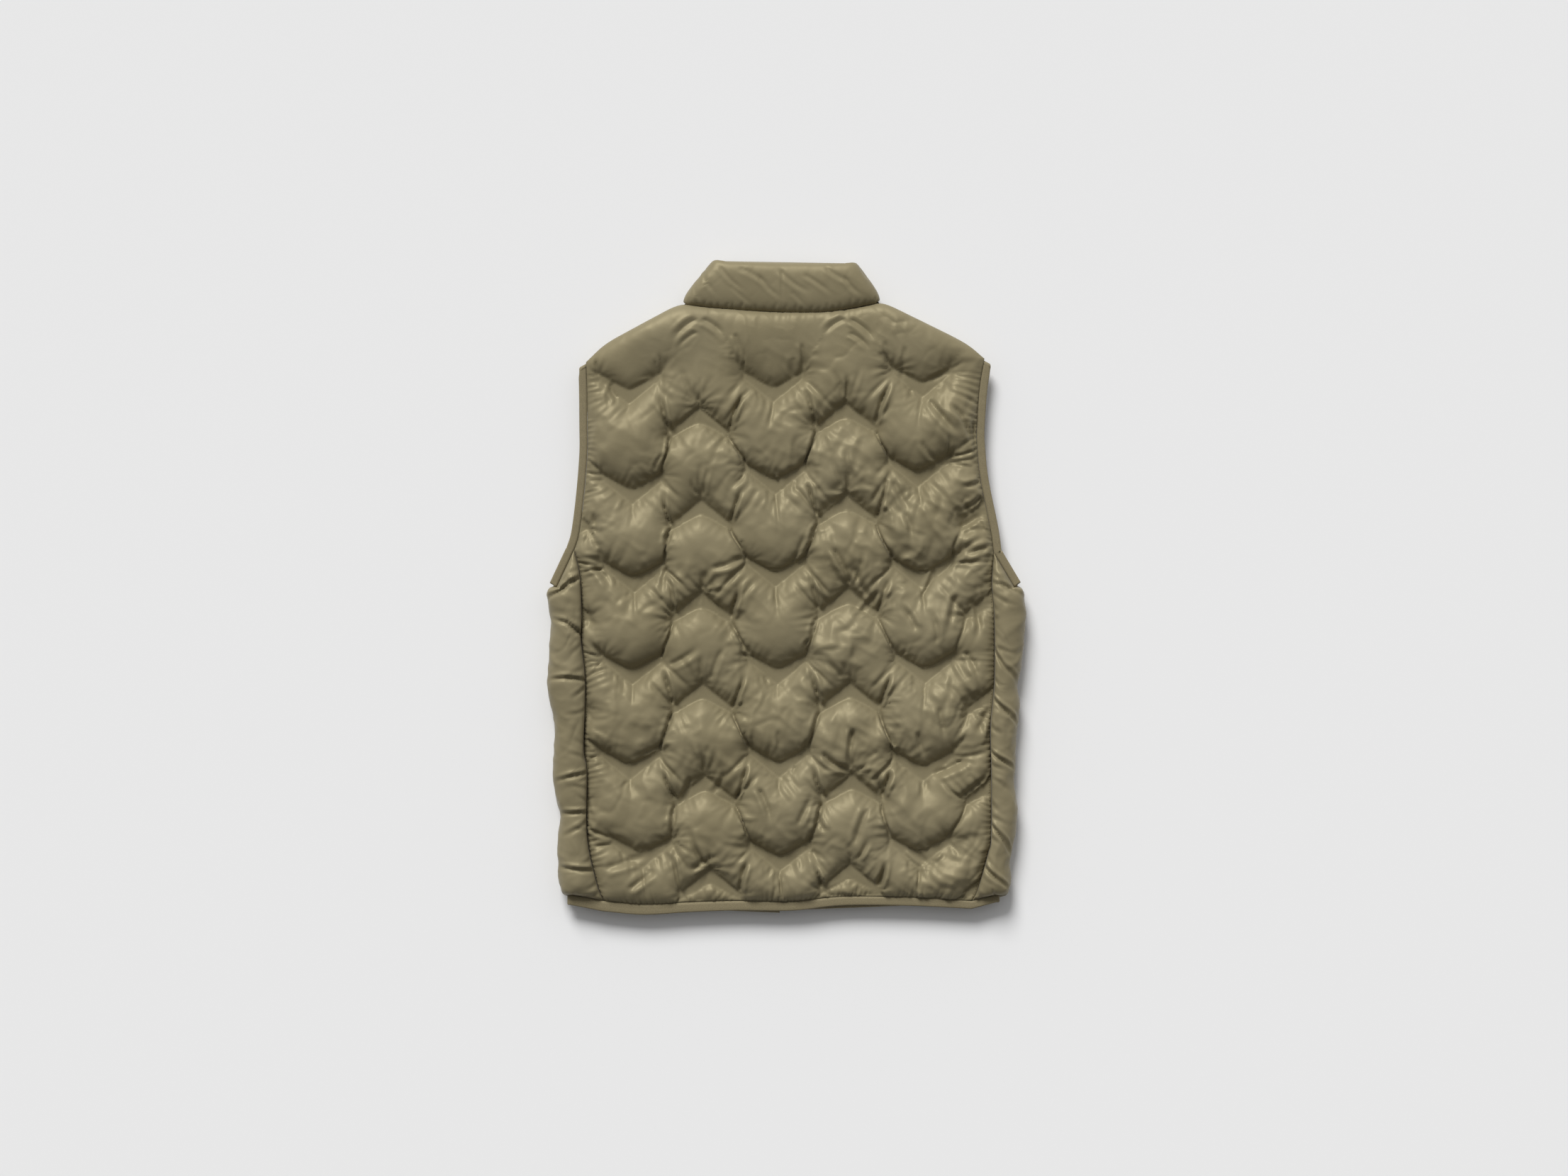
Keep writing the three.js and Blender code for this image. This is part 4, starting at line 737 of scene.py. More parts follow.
def two_tones(material, shader, scale, detail, first, second):
    """Base colour from a fine noise in the object's own place. first and second: place on the ramp, hex."""
    place = add_node(material, "ShaderNodeTexCoord").outputs["Object"]
    noise = add_node(material, "ShaderNodeTexNoise", {"Scale": scale, "Detail": detail}, Vector=place)
    colour = add_node(material, "ShaderNodeValToRGB", Fac=noise.outputs["Fac"])
    for element, (position, code) in zip(colour.color_ramp.elements, (first, second)):
        element.position = position
        element.color = linear(code)
    material.node_tree.links.new(colour.outputs["Color"], shader.inputs["Base Color"])
    return place, noise


def embossed(material, shader, height, strength, distance):
    bump = add_node(material, "ShaderNodeBump", {"Strength": strength, "Distance": distance}, Height=height)
    material.node_tree.links.new(bump.outputs["Normal"], shader.inputs["Normal"])


def satin_nylon():
    """Downproof nylon taffeta, calendered on its face: fine threads under a soft silky gloss."""
    material, shader = new_material("downproof_nylon_taffeta", Roughness=0.44, IOR=1.5, Sheen_Weight=0.08,
                                    Sheen_Roughness=0.4, Specular_Tint=linear("#e6d8b0"))
    place, _ = two_tones(material, shader, 9.0, 3.0, (0.3, "#7b7258"), (0.7, "#847b61"))
    wrinkles = add_node(material, "ShaderNodeTexNoise", {"Scale": 120.0, "Detail": 3.0, "Roughness": 0.55},
                        Vector=place)
    embossed(material, shader, wrinkles.outputs["Fac"], 0.25, 0.6 * MM)
    return material


def woven_tape():
    """Matt polyester binding tape with a close ribbed weave."""
    material, shader = new_material("polyester_binding_tape", Roughness=0.8, IOR=1.5, Sheen_Weight=0.1)
    _, weave = two_tones(material, shader, 900.0, 2.0, (0.3, "#756b50"), (0.7, "#887d5f"))
    embossed(material, shader, weave.outputs["Fac"], 0.3, 0.3 * MM)
    return material


def spun_thread():
    """Spun polyester sewing thread, a little darker than the cloth."""
    material, shader = new_material("spun_polyester_thread", Roughness=0.7, IOR=1.5)
    two_tones(material, shader, 2500.0, 2.0, (0.0, "#4a422c"), (1.0, "#6b6146"))
    return material


def zip_nylon():
    """Moulded nylon zip coil on knitted tape: smooth, slightly glossy."""
    material, shader = new_material("nylon_zip_coil", Roughness=0.45, IOR=1.53)
    two_tones(material, shader, 1200.0, 2.0, (0.0, "#564e38"), (1.0, "#6a6147"))
    return material


def painted_zinc():
    """Die-cast zinc under a satin metallic paint, worn bright in tiny specks."""
    material, shader = new_material("painted_die_cast_zinc", Roughness=0.35, Metallic=0.8)
    two_tones(material, shader, 700.0, 4.0, (0.55, "#6b6350"), (0.75, "#8c8470"))
    return material


SATIN = satin_nylon()
TAPE = woven_tape()
THREAD = spun_thread()
COIL = zip_nylon()
METAL = painted_zinc()

UP = np.array([0.0, 0.0, 1.0])


def run_lengths(points):
    """The way along a line of points to each of them."""
    return np.concatenate([[0], np.cumsum(np.linalg.norm(np.diff(points, axis=0), axis=1))])


def level_line(points, height):
    """A line in plan, at one height."""
    return np.concatenate([points, np.full((len(points), 1), height)], 1)


def grains(name, centres, runs, ups, size, material):
    """Many small rounded grains in one piece. size is half the length, width and height of each."""
    bm = bmesh.new()
    bmesh.ops.create_icosphere(bm, subdivisions=1, radius=1)
    shape = np.array([vert.co[:] for vert in bm.verts]) * size
    faces = np.array([[vert.index for vert in face.verts] for face in bm.faces])
    bm.free()
    sides = np.cross(ups, runs)
    sides /= np.linalg.norm(sides, axis=1, keepdims=True)
    tops = np.cross(runs, sides)
    long, wide, high = (shape[None, :, k, None] for k in range(3))
    verts = (centres[:, None] + long * runs[:, None] + wide * sides[:, None] + high * tops[:, None]) * MM
    faces = faces[None] + (np.arange(len(centres)) * len(shape))[:, None, None]
    mesh = bpy.data.meshes.new(name)
    mesh.from_pydata(verts.reshape(-1, 3).tolist(), [], faces.reshape(-1, 3).tolist())
    mesh.update()
    mesh.shade_smooth()
    placed(mesh, material)


def stitch_row(name, line, ups, pitch):
    """Lockstitches along a line, each dipping into the cloth at both ends."""
    along = run_lengths(line)
    places = np.arange(pitch / 2, along[-1], pitch)

    def at(values, where):
        return np.stack([np.interp(where, along, values[:, k]) for k in range(3)], 1)

    runs = at(line, places + 0.5) - at(line, places - 0.5)
    runs /= np.maximum(np.linalg.norm(runs, axis=1, keepdims=True), 1e-6)
    size = (pitch * 0.38, 0.32, 0.28)
    grains(name, at(line, places), runs, at(ups, places), size, THREAD)


# The back panel

def back_grid(level):
    """Places of the back's grid in plan, rows from hem to neck."""
    side_rows, arm_rows, shoulder_rows, columns = (level * cells for cells in BACK_GRID.values())
    edge = {}
    for side in OUT:
        edge[side] = np.vstack([spaced(SIDE_SEAM[side], side_rows),
                                spaced(BACK_ARMHOLE[side], arm_rows)[1:],
                                spaced(SHOULDER[side], shoulder_rows)[1:]])
    across = np.linspace(0, 1, columns + 1)[None, :, None]
    grid = mix(edge["left"][:, None], edge["right"][:, None], across)
    row = np.arange(len(grid))[:, None, None] / level
    last = row[-1, 0, 0]
    hem_pull = (1 - smooth(row / HEM_ROWS)) * (spaced(BACK_HEM, columns) - grid[0])
    neck_pull = smooth((row - last + NECK_ROWS) / NECK_ROWS) * (spaced(BACK_NECK, columns) - grid[-1])
    return grid + hem_pull + neck_pull, side_rows, arm_rows


def flat_levels(xy, height):
    """Places in plan with their heights."""
    return np.concatenate([xy, np.broadcast_to(height, xy.shape[:2])[..., None]], -1)


def back_pattern(level):
    """The back at one level of its grid: slack where it puffs, tight where it lies smooth."""
    xy, side_rows, arm_rows = back_grid(level)
    xy = snapped_to_bands(xy, HELD_BANDS, SPACING / level)
    height = np.full(xy.shape[:2], TOP_LINING + WALL)
    height[-1, :] = TOP_LINING + SHOULDER_EDGE      # the shoulders roll over to the fronts
    start = flat_levels(xy, height)
    seam = flat_levels(xy, TOP_LINING + WALL)
    out = np.broadcast_to(UP, start.shape)
    from_band = band_distance(xy, HELD_BANDS)
    from_side = np.minimum(np.abs(xy[..., 0] - xy[:, :1, 0]), np.abs(xy[..., 0] - xy[:, -1:, 0]))
    from_hem = xy[..., 1] - xy[:1, :, 1]
    on_shoulders = smooth((xy[..., 1] - SHOULDER_START) / SHOULDER_RUN)

    patches = sum(unevenness(xy, size, seed) * share for size, seed, share in BACK_PATCHES)
    spare = SPARE["back"] * (1 + patches) * mix(0.4, 1, smooth(from_band / 16))
    cloth = Cloth(start, seam, TOP_LINING, out, xy, LOFT["back"], spare[..., None])
    cloth.spare[..., :2] *= mix(1, 0.3, on_shoulders)[..., None]
    past_start = smooth((xy[..., 1] - NECK_SLACK["start"]) / NECK_SLACK["reach"])
    at_side = np.exp(-(from_side / SIDE_SLACK["reach"]) ** 2) * (xy[..., 1] < SIDE_SLACK["end"])
    at_hem = np.exp(-(from_hem / HEM_SLACK["reach"]) ** 2)
    cloth.spare[..., 0] += NECK_SLACK["change"] * past_start
    cloth.spare[..., 1] += SIDE_SLACK["change"] * at_side
    cloth.spare[..., 0] += HEM_SLACK["change"] * at_hem
    cloth.loft *= 1 + 0.3 * unevenness(xy, 42, 61)
    cloth.loft *= mix(1, 0.6, on_shoulders)
    for away, (least, reach) in ((from_band, BAND_FLATNESS), (from_side, SIDE_FLATNESS)):
        cloth.loft *= mix(least, 1, smooth(away / reach))
    cloth.sag = 0.03 * smooth((170 - xy[..., 1]) / 60)
    for row in BACK_FOLDS:
        cloth.fold(*row)
    cloth.hold_border()
    cloth.held |= from_band < 0.05 * SPACING / level
    if level == 1:
        cloth.start[..., 2] += np.where(cloth.held, 0, 1.5 + unevenness(xy, 14, 5) * 0.8)

    # How far the skin may bulge past the side seams, and past the armholes
    over = np.zeros(len(xy))
    over[:side_rows] = BULGE["side"]
    over[side_rows + 1:side_rows + arm_rows] = BULGE["armhole"]
    least, most = (xy[:, 0, 0] - over)[:, None], (xy[:, -1, 0] + over)[:, None]

    def fence(skin):
        skin[:, 1:-1, 0] = np.clip(skin[:, 1:-1, 0], least, most)

    cloth.fence = fence
    return cloth


def make_back():
    skin, cloth = puffed(back_pattern, **SETTLING["back"])
    xy, out = cloth.flat, cloth.out
    clear = smooth(band_distance(xy, HELD_BANDS) / 6)
    inside = smooth(np.minimum(xy[..., 0] - xy[:, :1, 0], xy[:, -1:, 0] - xy[..., 0]) / 8)
    on_shoulders = smooth((xy[..., 1] - SHOULDER_START) / SHOULDER_RUN)
    creased(skin, xy, out * inside[..., None], BACK_CREASES)
    starred(skin, xy, out * (inside * mix(0.35, 1, clear))[..., None], HELD_BANDS)
    gathered(skin, xy, out * inside[..., None] * mix(1, 0.45, on_shoulders)[..., None], HELD_BANDS)
    # more crumpled on the wearer's right, as in the photograph
    amount = mix(0.3, 1.0, smooth(0.5 + unevenness(xy, 60, 71)))
    amount *= mix(0.7, 1.3, smooth((xy[..., 0] + 20) / 160))
    amount *= mix(0.15, 1, clear) * inside * mix(1, 0.4, on_shoulders)
    crumpled(skin, xy, out, amount)
    side_rows = BACK_GRID["side"] * SETTLING["back"]["levels"][-1] + 1
    for column, seed in ((0, 91), (-1, 93)):
        beside = np.abs(xy[..., 0] - xy[:, column:column + 1 or None, 0])
        depth = np.where(np.arange(len(xy)) < side_rows, PUCKER_DEPTH["side"], PUCKER_DEPTH["armhole"])
        puckered(skin, xy[..., 1], beside, out, depth[:, None] * smooth(beside / PUCKER_FOOT), seed)
    from_hem, from_neck = xy[..., 1] - xy[:1, :, 1], xy[-1:, :, 1] - xy[..., 1]
    at_neck = smooth((100 - np.abs(xy[..., 0])) / 15)
    puckered(skin, xy[..., 0], from_hem, out, PUCKER_DEPTH["hem"] * smooth(from_hem / PUCKER_FOOT), 95)
    depth = PUCKER_DEPTH["neck"] * smooth(from_neck / PUCKER_FOOT) * at_neck
    puckered(skin, xy[..., 0], from_neck, out, depth, 97)
    lowest = np.minimum(cloth.start[..., 2], TOP_LINING + SHOULDER_EDGE)
    skin[..., 2] = np.maximum(skin[..., 2], lowest)
    border = np.ones(skin.shape[:2], bool)
    border[1:-1, 1:-1] = False
    skin[border] = cloth.start[border]
    panel = placed(grid_mesh("vest_back", skin, TOP_LINING), SATIN)
    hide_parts("back_panel")
    for side, column in (("left", 1), ("right", -2)):
        line = skin[2:side_rows, column] + [0, 0, 0.15]
        stitch_row(f"side_stitches_{side}", line, np.broadcast_to(UP, line.shape), SIDE_STITCH)


# The fronts, which fold round the sides

FRONT_QUILT = {"first": (52, -318), "column": (82.4, -5), "row": 105.8}
FRONT_BANDS = {
    side: [(out * (FRONT_QUILT["first"][0] + FRONT_QUILT["column"][0] * column),
            FRONT_QUILT["first"][1] + FRONT_QUILT["row"] * row + FRONT_QUILT["column"][1] * column,
            1 if column % 2 else -1)
           for column in range(3) for row in range(6)]
    for side, out in OUT.items()
}


def front_neckline(side, steps):
    """From the zip to the shoulder's inner end."""
    out = OUT[side]
    return spaced([(out * (ZIP_HALF + GAP), NECK_AT_ZIP), (out * 40, NECK_AT_ZIP + 8),
                   (out * 86, NECK_AT_ZIP + 40), SHOULDER[side][-1]], steps)


def run_across(start):
    """The way along each row of a grid to each of its points."""
    steps = np.linalg.norm(np.diff(start, axis=1), axis=-1)
    return np.concatenate([np.zeros((len(start), 1)), np.cumsum(steps, 1)], 1)


def front_pattern(side, level):
    """A front at one level of its grid, from the zip under the vest, round the side, to the side seam."""
    out = OUT[side]
    side_rows, arm_rows, neck_rows, low_columns, fold_columns, strip_columns = (
        level * cells for cells in FRONT_GRID.values())
    rows = side_rows + arm_rows
    zip_x = out * (ZIP_HALF + GAP)
    neckline = front_neckline(side, neck_rows)
    zip_line = spaced([(zip_x, HEM_AT_ZIP), (zip_x, NECK_AT_ZIP)], rows - neck_rows)
    inner = np.vstack([zip_line, neckline[1:]])
    fold = spaced(SIDE_FOLD[side], side_rows)
    seam_line = spaced(SIDE_SEAM[side], side_rows) + [out * GAP, 0]
    arm = spaced(FRONT_ARMHOLE[side], arm_rows)
    columns = low_columns + fold_columns + strip_columns

    start = np.zeros((rows + 1, columns + 1, 3))
    lining = np.zeros_like(start)
    direction = np.zeros_like(start)
    end = np.minimum(np.arange(side_rows + 1), np.arange(side_rows, -1, -1)) * SPACING / level
    rise = STRIP_RISE * puff(end / PUFF_SHOULDER)
    depth = WALL + rise + CREASE
    outer = np.vstack([fold - np.stack([out * depth, 0 * depth], 1), arm[1:]])
    rise = np.concatenate([rise, np.zeros(arm_rows)])

    t = np.linspace(0, 1, low_columns + 1)[None, :]
    low = mix(inner[:, None], outer[:, None], t[..., None])
    drop = rise[:, None] * smooth((t - 0.6) / 0.4)
    start[:, :low_columns + 1] = flat_levels(low, LOW_LINING - WALL - drop)
    lining[:, :low_columns + 1] = flat_levels(low, LOW_LINING)
    direction[:, :low_columns + 1] = (0, 0, -1)

    wrapped = slice(0, side_rows + 1)
    centre_x = (fold[:, 0] - out * depth)[:, None]
    thick = (WALL + rise[wrapped])[:, None]
    turn = np.radians(np.linspace(-90, 90, fold_columns + 1))[None, 1:]
    part = (wrapped, slice(low_columns + 1, low_columns + fold_columns + 1))
    y = np.broadcast_to(fold[:, 1:], (side_rows + 1, fold_columns))
    start[part] = np.stack([centre_x + out * depth[:, None] * np.cos(turn), y,
                            LAYER + (thick + LINING_GAP) * np.sin(turn)], -1)
    lining[part] = np.stack([centre_x + out * CREASE * np.cos(turn), y,
                             np.broadcast_to(LAYER + LINING_GAP * np.sin(turn), y.shape)], -1)
    direction[part] = np.stack(np.broadcast_arrays(out * np.cos(turn), 0 * y, np.sin(turn)), -1)

    share = np.linspace(0, 1, strip_columns + 1)[None, 1:]
    part = (wrapped, slice(low_columns + fold_columns + 1, None))
    first = np.stack([centre_x[:, 0], fold[:, 1]], 1)
    strip = mix(first[:, None], seam_line[:, None], share[..., None])
    width = np.abs(seam_line[:, :1] - centre_x)
    swell = rise[wrapped, None] * puff((1 - share) * width / PUFF_SHOULDER)
    start[part] = flat_levels(strip, TOP_LINING + WALL + swell)
    lining[part] = flat_levels(strip, TOP_LINING)
    direction[part] = (0, 0, 1)

    flat = np.stack([start[:, :1, 0] + out * run_across(start), start[..., 1]], -1)
    seam = lining + direction * WALL
    spare = SPARE["front"] * (1 + unevenness(flat, 30, 31))
    cloth = Cloth(start, seam, lining, direction, flat, LOFT["front"], spare[..., None])
    cloth.hand = -out
    cloth.alive[side_rows + 1:, low_columns + 1:] = False
    cloth.hold_border()
    cloth.held[side_rows:, low_columns] = True
    cloth.held[side_rows, low_columns:] = True
    on_low = np.zeros(cloth.held.shape, bool)
    on_low[:, :low_columns + 1] = True
    quilted = on_low & (band_distance(start[..., :2], FRONT_BANDS[side]) < 0)
    cloth.held |= quilted & (np.abs(start[..., 2] - (LOW_LINING - WALL)) < 0.5)

    middle = low_columns + fold_columns // 2
    over_top = np.where(cloth.alive[:, -1:], flat[:, -1:, 0] - flat[:, middle:middle + 1, 0], out)
    across = (flat[..., 0] - flat[:, middle:middle + 1, 0]) / over_top
    on_strip = smooth(across * 4 + 1)
    from_seam = np.abs(flat[..., 0] - flat[:, -1:, 0])
    cloth.spare[..., 1] += (0.04 * np.exp(-(from_seam / 9) ** 2) - 0.04) * on_strip
    cloth.across = np.where(cloth.alive, across, -1.0)      # 0 at the fold, 1 at the side seam
    cloth.from_seam = from_seam

    def fence(skin):
        skin[..., 2] = np.maximum(skin[..., 2], 0.0)
        strip_x = skin[wrapped, low_columns + fold_columns:-1, 0]
        limit = (seam_line[:, 0] + out * 0.1)[:, None]
        strip_x[...] = np.maximum(strip_x, limit) if out > 0 else np.minimum(strip_x, limit)
        skin[..., 0] = np.maximum(skin[..., 0], zip_x) if out > 0 else np.minimum(skin[..., 0], zip_x)

    cloth.fence = fence
    return cloth


def make_front(side):
    skin, cloth = puffed(lambda level: front_pattern(side, level), **SETTLING["front"])
    on_strip = np.stack([cloth.across * STRIP_WIDTH, cloth.flat[..., 1]], -1)
    shown = smooth(cloth.across * 4 + 1.5) * ~cloth.held
    out = cloth.out * shown[..., None]
    rows = [(STRIP_WIDTH, seam_y, STRIP_WIDTH * (1 - reach), end_y, bow, half_width, depth)
            for seam_y, end_y, reach, bow, half_width, depth in STRIP_CREASES[side]]
    creased(skin, on_strip, out, rows)
    crumpled(skin, on_strip, out, mix(0.3, 0.6, smooth(0.5 + unevenness(on_strip, 40, 73))))
    depth = PUCKER_DEPTH["strip"] * smooth(cloth.from_seam / PUCKER_FOOT)
    puckered(skin, cloth.flat[..., 1], cloth.from_seam, out, depth, 99)
    mesh = grid_mesh(f"vest_front_{side}", skin, cloth.lining, cloth.alive)
    panel = placed(mesh, SATIN)
    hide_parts(f"front_{side}")


# The collar, one padded band from the zip round the back to the zip

def collar_pattern(level):
    """The collar at one level of its grid: front half, fold, back half, fold, front half, rows upwards."""
    front_steps, fold_steps, back_steps, rows = (level * cells for cells in COLLAR_GRID.values())
    v = np.linspace(0, 1, rows + 1)[:, None]
    base_rise = COLLAR_RISE * np.sin(math.pi * np.clip(v * 0.93, 0, 1)) ** 0.7
    corners = {side: np.array(SHOULDER[side][-1], float) for side in OUT}
    tops = {side: np.array(COLLAR_TOP[side], float) for side in OUT}

    def fold_line(side):
        rise = tops[side] - corners[side]
        length = np.linalg.norm(rise)
        square = np.array([-OUT[side] * rise[1], OUT[side] * rise[0]]) / length
        inward = mix(square, np.array([-OUT[side], 0.0]), v ** 3)      # level at the upper edge
        return inward, mix(corners[side], tops[side], COLLAR_CORNER / length)

    def front_half(side):
        out = OUT[side]
        inward, _ = fold_line(side)
        seam = front_neckline(side, front_steps) + [0, 1.4 * GAP]
        top = spaced([(out * (ZIP_HALF + GAP), COLLAR_TOP_AT_ZIP), (out * 34, COLLAR_TOP_AT_ZIP + 14),
                      tops[side]], front_steps)
        p = mix(seam[None], top[None], v[..., None])[:, :-1]
        k = np.arange(front_steps) / front_steps
        # flat at the zip, full beside it, and a little less towards the fold
        ends = mix(0.25, 0.8, smooth(k * 8)) - 0.05 * smooth(k)
        push = (WALL + base_rise * 0.75 + CREASE + 2) * smooth((k * 8 - 2) / 5) * v
        p = p + push[..., None] * inward[:, None]
        rise = base_rise * ends
        start = flat_levels(p, LOW_LINING - WALL - rise)
        lining = flat_levels(p, LOW_LINING)
        return start, lining, np.broadcast_to((0.0, 0.0, -1.0), start.shape)

    def fold_half(side):
        inward, base = fold_line(side)
        edge = mix(base, tops[side], v)
        depth = WALL + base_rise * 0.75 + CREASE
        turn = np.radians(np.linspace(-90, 90, fold_steps + 1))[None]
        centre = edge[:, None] + inward[:, None] * depth[..., None]
        reach = np.cos(turn)[..., None] * -inward[:, None]
        start = np.concatenate([centre + reach * depth[..., None],
                                (LAYER + (depth - CREASE + LINING_GAP) * np.sin(turn))[..., None]], -1)
        low = np.broadcast_to(LAYER + LINING_GAP * np.sin(turn), start.shape[:2])[..., None]
        lining = np.concatenate([centre + reach * CREASE, low], -1)
        out = np.concatenate([np.broadcast_to(reach, start.shape[:2] + (2,)),
                              np.broadcast_to(np.sin(turn)[..., None], start.shape[:2] + (1,))], -1)
        return start, lining, out

    def back_half():
        seam = spaced(BACK_NECK, back_steps + 4)[2:-2] + [0, 1.2 * GAP]
        k = np.arange(2, back_steps + 3) / (back_steps + 4)
        top = mix(tops["left"], tops["right"], k[:, None])
        p = mix(seam[None], top[None], v[..., None])
        share = np.linspace(0, 1, back_steps + 1)
        near_ends = np.clip(1 - share * 2.4, 0, 1) - np.clip(1 - (1 - share) * 2.4, 0, 1)
        p[..., 0] += (base_rise * 0.75 + 4 * v) * near_ends
        ends = mix(0.75, 1, smooth(np.minimum(share, 1 - share) * 6))
        start = flat_levels(p, TOP_LINING + WALL + base_rise * ends)
        lining = flat_levels(p, TOP_LINING)
        return start[:, 1:-1], lining[:, 1:-1], np.broadcast_to((0.0, 0.0, 1.0), start[:, 1:-1].shape)

    parts = [front_half("left"), fold_half("left"), back_half(),
             tuple(a[:, ::-1] for a in fold_half("right")), tuple(a[:, ::-1] for a in front_half("right"))]
    start, lining, direction = (np.concatenate([part[k] for part in parts], 1) for k in range(3))
    start[-1] = lining[-1] + direction[-1] * 1.6      # the upper edge rolls over
    run = run_across(start)
    middle = run[:, run.shape[1] // 2][:, None]
    flat = np.stack([run - middle, np.broadcast_to(v * COLLAR_HEIGHT, run.shape)], -1)
    spare = SPARE["collar"] * (1 + unevenness(flat, 22, 41))
    cloth = Cloth(start, lining + direction * WALL, lining, direction, flat, LOFT["collar"],
                  spare[..., None])
    cloth.hold_border()

    def fence(skin):
        skin[..., 2] = np.maximum(skin[..., 2], 0.0)

    cloth.fence = fence
    return cloth


def make_collar():
    skin, cloth = puffed(collar_pattern, **SETTLING["collar"])
    out = cloth.out * ~cloth.held[..., None]
    creased(skin, cloth.flat, out, COLLAR_CREASES)
    crumpled(skin, cloth.flat, out, np.full(skin.shape[:2], 0.12))
    band = placed(grid_mesh("vest_collar", skin, cloth.lining), SATIN)
    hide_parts("collar")


# Bindings: a tape folded over the raw edges, with a row of stitches beside its inner edge

TAPE_CLOTH = 0.6
TAPE_SECTION = 12      # points round the folded tape
STITCH_INSET = 1.6     # from the tape's inner edge to the stitches
NARROW_TAPE = 5.0      # its width where it turns round a strip's upper end
ARMHOLE_STEPS = 120
BACK_HEM_STEPS = 170


def folded_tape(name, points, ups, outs, widths, is_ring):
    """A tape over an edge. points lie on the lining side of the seam, ups point to the wall's face
    and outs away from the panel."""
    along = run_lengths(points)
    ripple = np.stack([along, np.zeros_like(along)], 1)
    swell = 1 + 0.07 * unevenness(ripple, 5, 51) + 0.05 * unevenness(ripple, 23, 52)
    half = WALL / 2
    layers = []
    for inset in (0, TAPE_CLOTH):
        section = []
        for k in range(TAPE_SECTION + 1):
            t = k / TAPE_SECTION
            if 0.25 < t < 0.75:      # round the edge
                bend = math.pi * 2 * (t - 0.5)
                run = GAP + widths - half + (half - inset) * math.cos(bend)
                level = -math.sin(bend)
            else:
                run = GAP + (widths - half) * (min(t, 1 - t) / 0.25)
                level = 1.0 if t < 0.5 else -1.0
            sewn_down = np.exp(-((run - STITCH_INSET) / 1.0) ** 2) * 0.45 * level
            height = half + (half - inset) * level * swell - sewn_down
            section.append(points + outs * run[:, None] + ups * height[:, None])
        layers.append(np.stack(section, 1))
    outer, inner = layers
    if is_ring:
        outer, inner = (np.concatenate([a, a[:1]]) for a in (outer, inner))
    mesh = grid_mesh(name, outer, inner)
    if is_ring:
        bm = bmesh.new()
        bm.from_mesh(mesh)
        bmesh.ops.remove_doubles(bm, verts=bm.verts[:], dist=0.02 * MM)
        bm.to_mesh(mesh)
        bm.free()
    seat = half + half * swell - 0.4
    line = points + outs * (GAP + STITCH_INSET) + ups * seat[:, None]
    stitch_row(name.replace("tape", "stitches"), line, ups, TAPE_STITCH)
    return placed(mesh, TAPE), along[-1]


def plan_normals(points, sign):
    """Level directions square to a line."""
    step = np.gradient(points, axis=0)
    step /= np.maximum(np.linalg.norm(step, axis=1, keepdims=True), 1e-6)
    return np.stack([-sign * step[:, 1], sign * step[:, 0], np.zeros(len(points))], 1)


def wrap_path(side, row, count):
    """The strip's end at a row of the fold: from the side seam over the top and round to the low layer."""
    out = OUT[side]
    fold = np.array(SIDE_FOLD[side][row], float)
    seam = np.array(SIDE_SEAM[side][row], float) + [out * GAP, 0]
    centre = fold - [out * (WALL + CREASE), 0]
    strip = level_line(mix(seam[None], centre[None], np.linspace(0, 1, count)[:, None]), TOP_LINING)
    turn = np.radians(np.linspace(90, -90, 9))[1:]
    arc = np.stack([centre[0] + out * CREASE * np.cos(turn), np.full(8, centre[1]),
                    LAYER + LINING_GAP * np.sin(turn)], 1)
    round_ups = np.stack([out * np.cos(turn), 0 * turn, np.sin(turn)], 1)
    return np.vstack([strip, arc]), np.vstack([np.broadcast_to(UP, (count, 3)), round_ups])


def make_armhole_binding(side):
    out = OUT[side]
    back = spaced(BACK_ARMHOLE[side], ARMHOLE_STEPS)[::-1][3:]      # cut off just below the shoulder
    low = spaced(FRONT_ARMHOLE[side], ARMHOLE_STEPS)[:-3]
    strip, strip_ups = wrap_path(side, -1, 20)
    points = [level_line(back, TOP_LINING), strip[1:], level_line(low[1:], LOW_LINING)]
    ups = [np.broadcast_to(UP, (len(back), 3)), strip_ups[1:], np.broadcast_to(-UP, (len(low) - 1, 3))]
    strip_outs = plan_normals(strip[:, :2], out)[1:]
    turned = np.abs(strip_ups[1:, 2]) < 0.99
    strip_outs[turned] = (0, 1, 0)
    back_outs = plan_normals(back, out)
    cut = np.array([0.87 * out, -0.5, 0.0])       # the way that the tape's end is cut at the shoulder
    lean = smooth(1 - np.arange(len(back)) / 8)[:, None]
    back_outs = mix(back_outs, cut, lean)
    low_outs = mix(plan_normals(low, -out)[1:], cut, lean[:-1][::-1])
    outs = [back_outs, strip_outs, low_outs]
    widths = [np.full(len(back), ARMHOLE_TAPE), np.where(turned, NARROW_TAPE, ARMHOLE_TAPE),
              np.full(len(low) - 1, ARMHOLE_TAPE)]
    widths[2][:6] = np.linspace(NARROW_TAPE, ARMHOLE_TAPE, 6)
    # over the shoulder, from the front armhole to the back one
    turn = np.radians(np.linspace(-90, 90, 9))[1:-1]
    points.append(np.stack([np.full(7, back[0][0]), back[0][1] + CREASE * np.cos(turn),
                            LAYER + LINING_GAP * np.sin(turn)], 1))
    ups.append(np.stack([0 * turn, np.cos(turn), np.sin(turn)], 1))
    outs.append(np.broadcast_to(cut, (7, 3)))
    widths.append(np.full(7, ARMHOLE_TAPE))
    piece, length = folded_tape(f"armhole_tape_{side}", np.vstack(points), np.vstack(ups), np.vstack(outs),
                                np.concatenate(widths), True)
    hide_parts(f"armhole_binding_{side}")


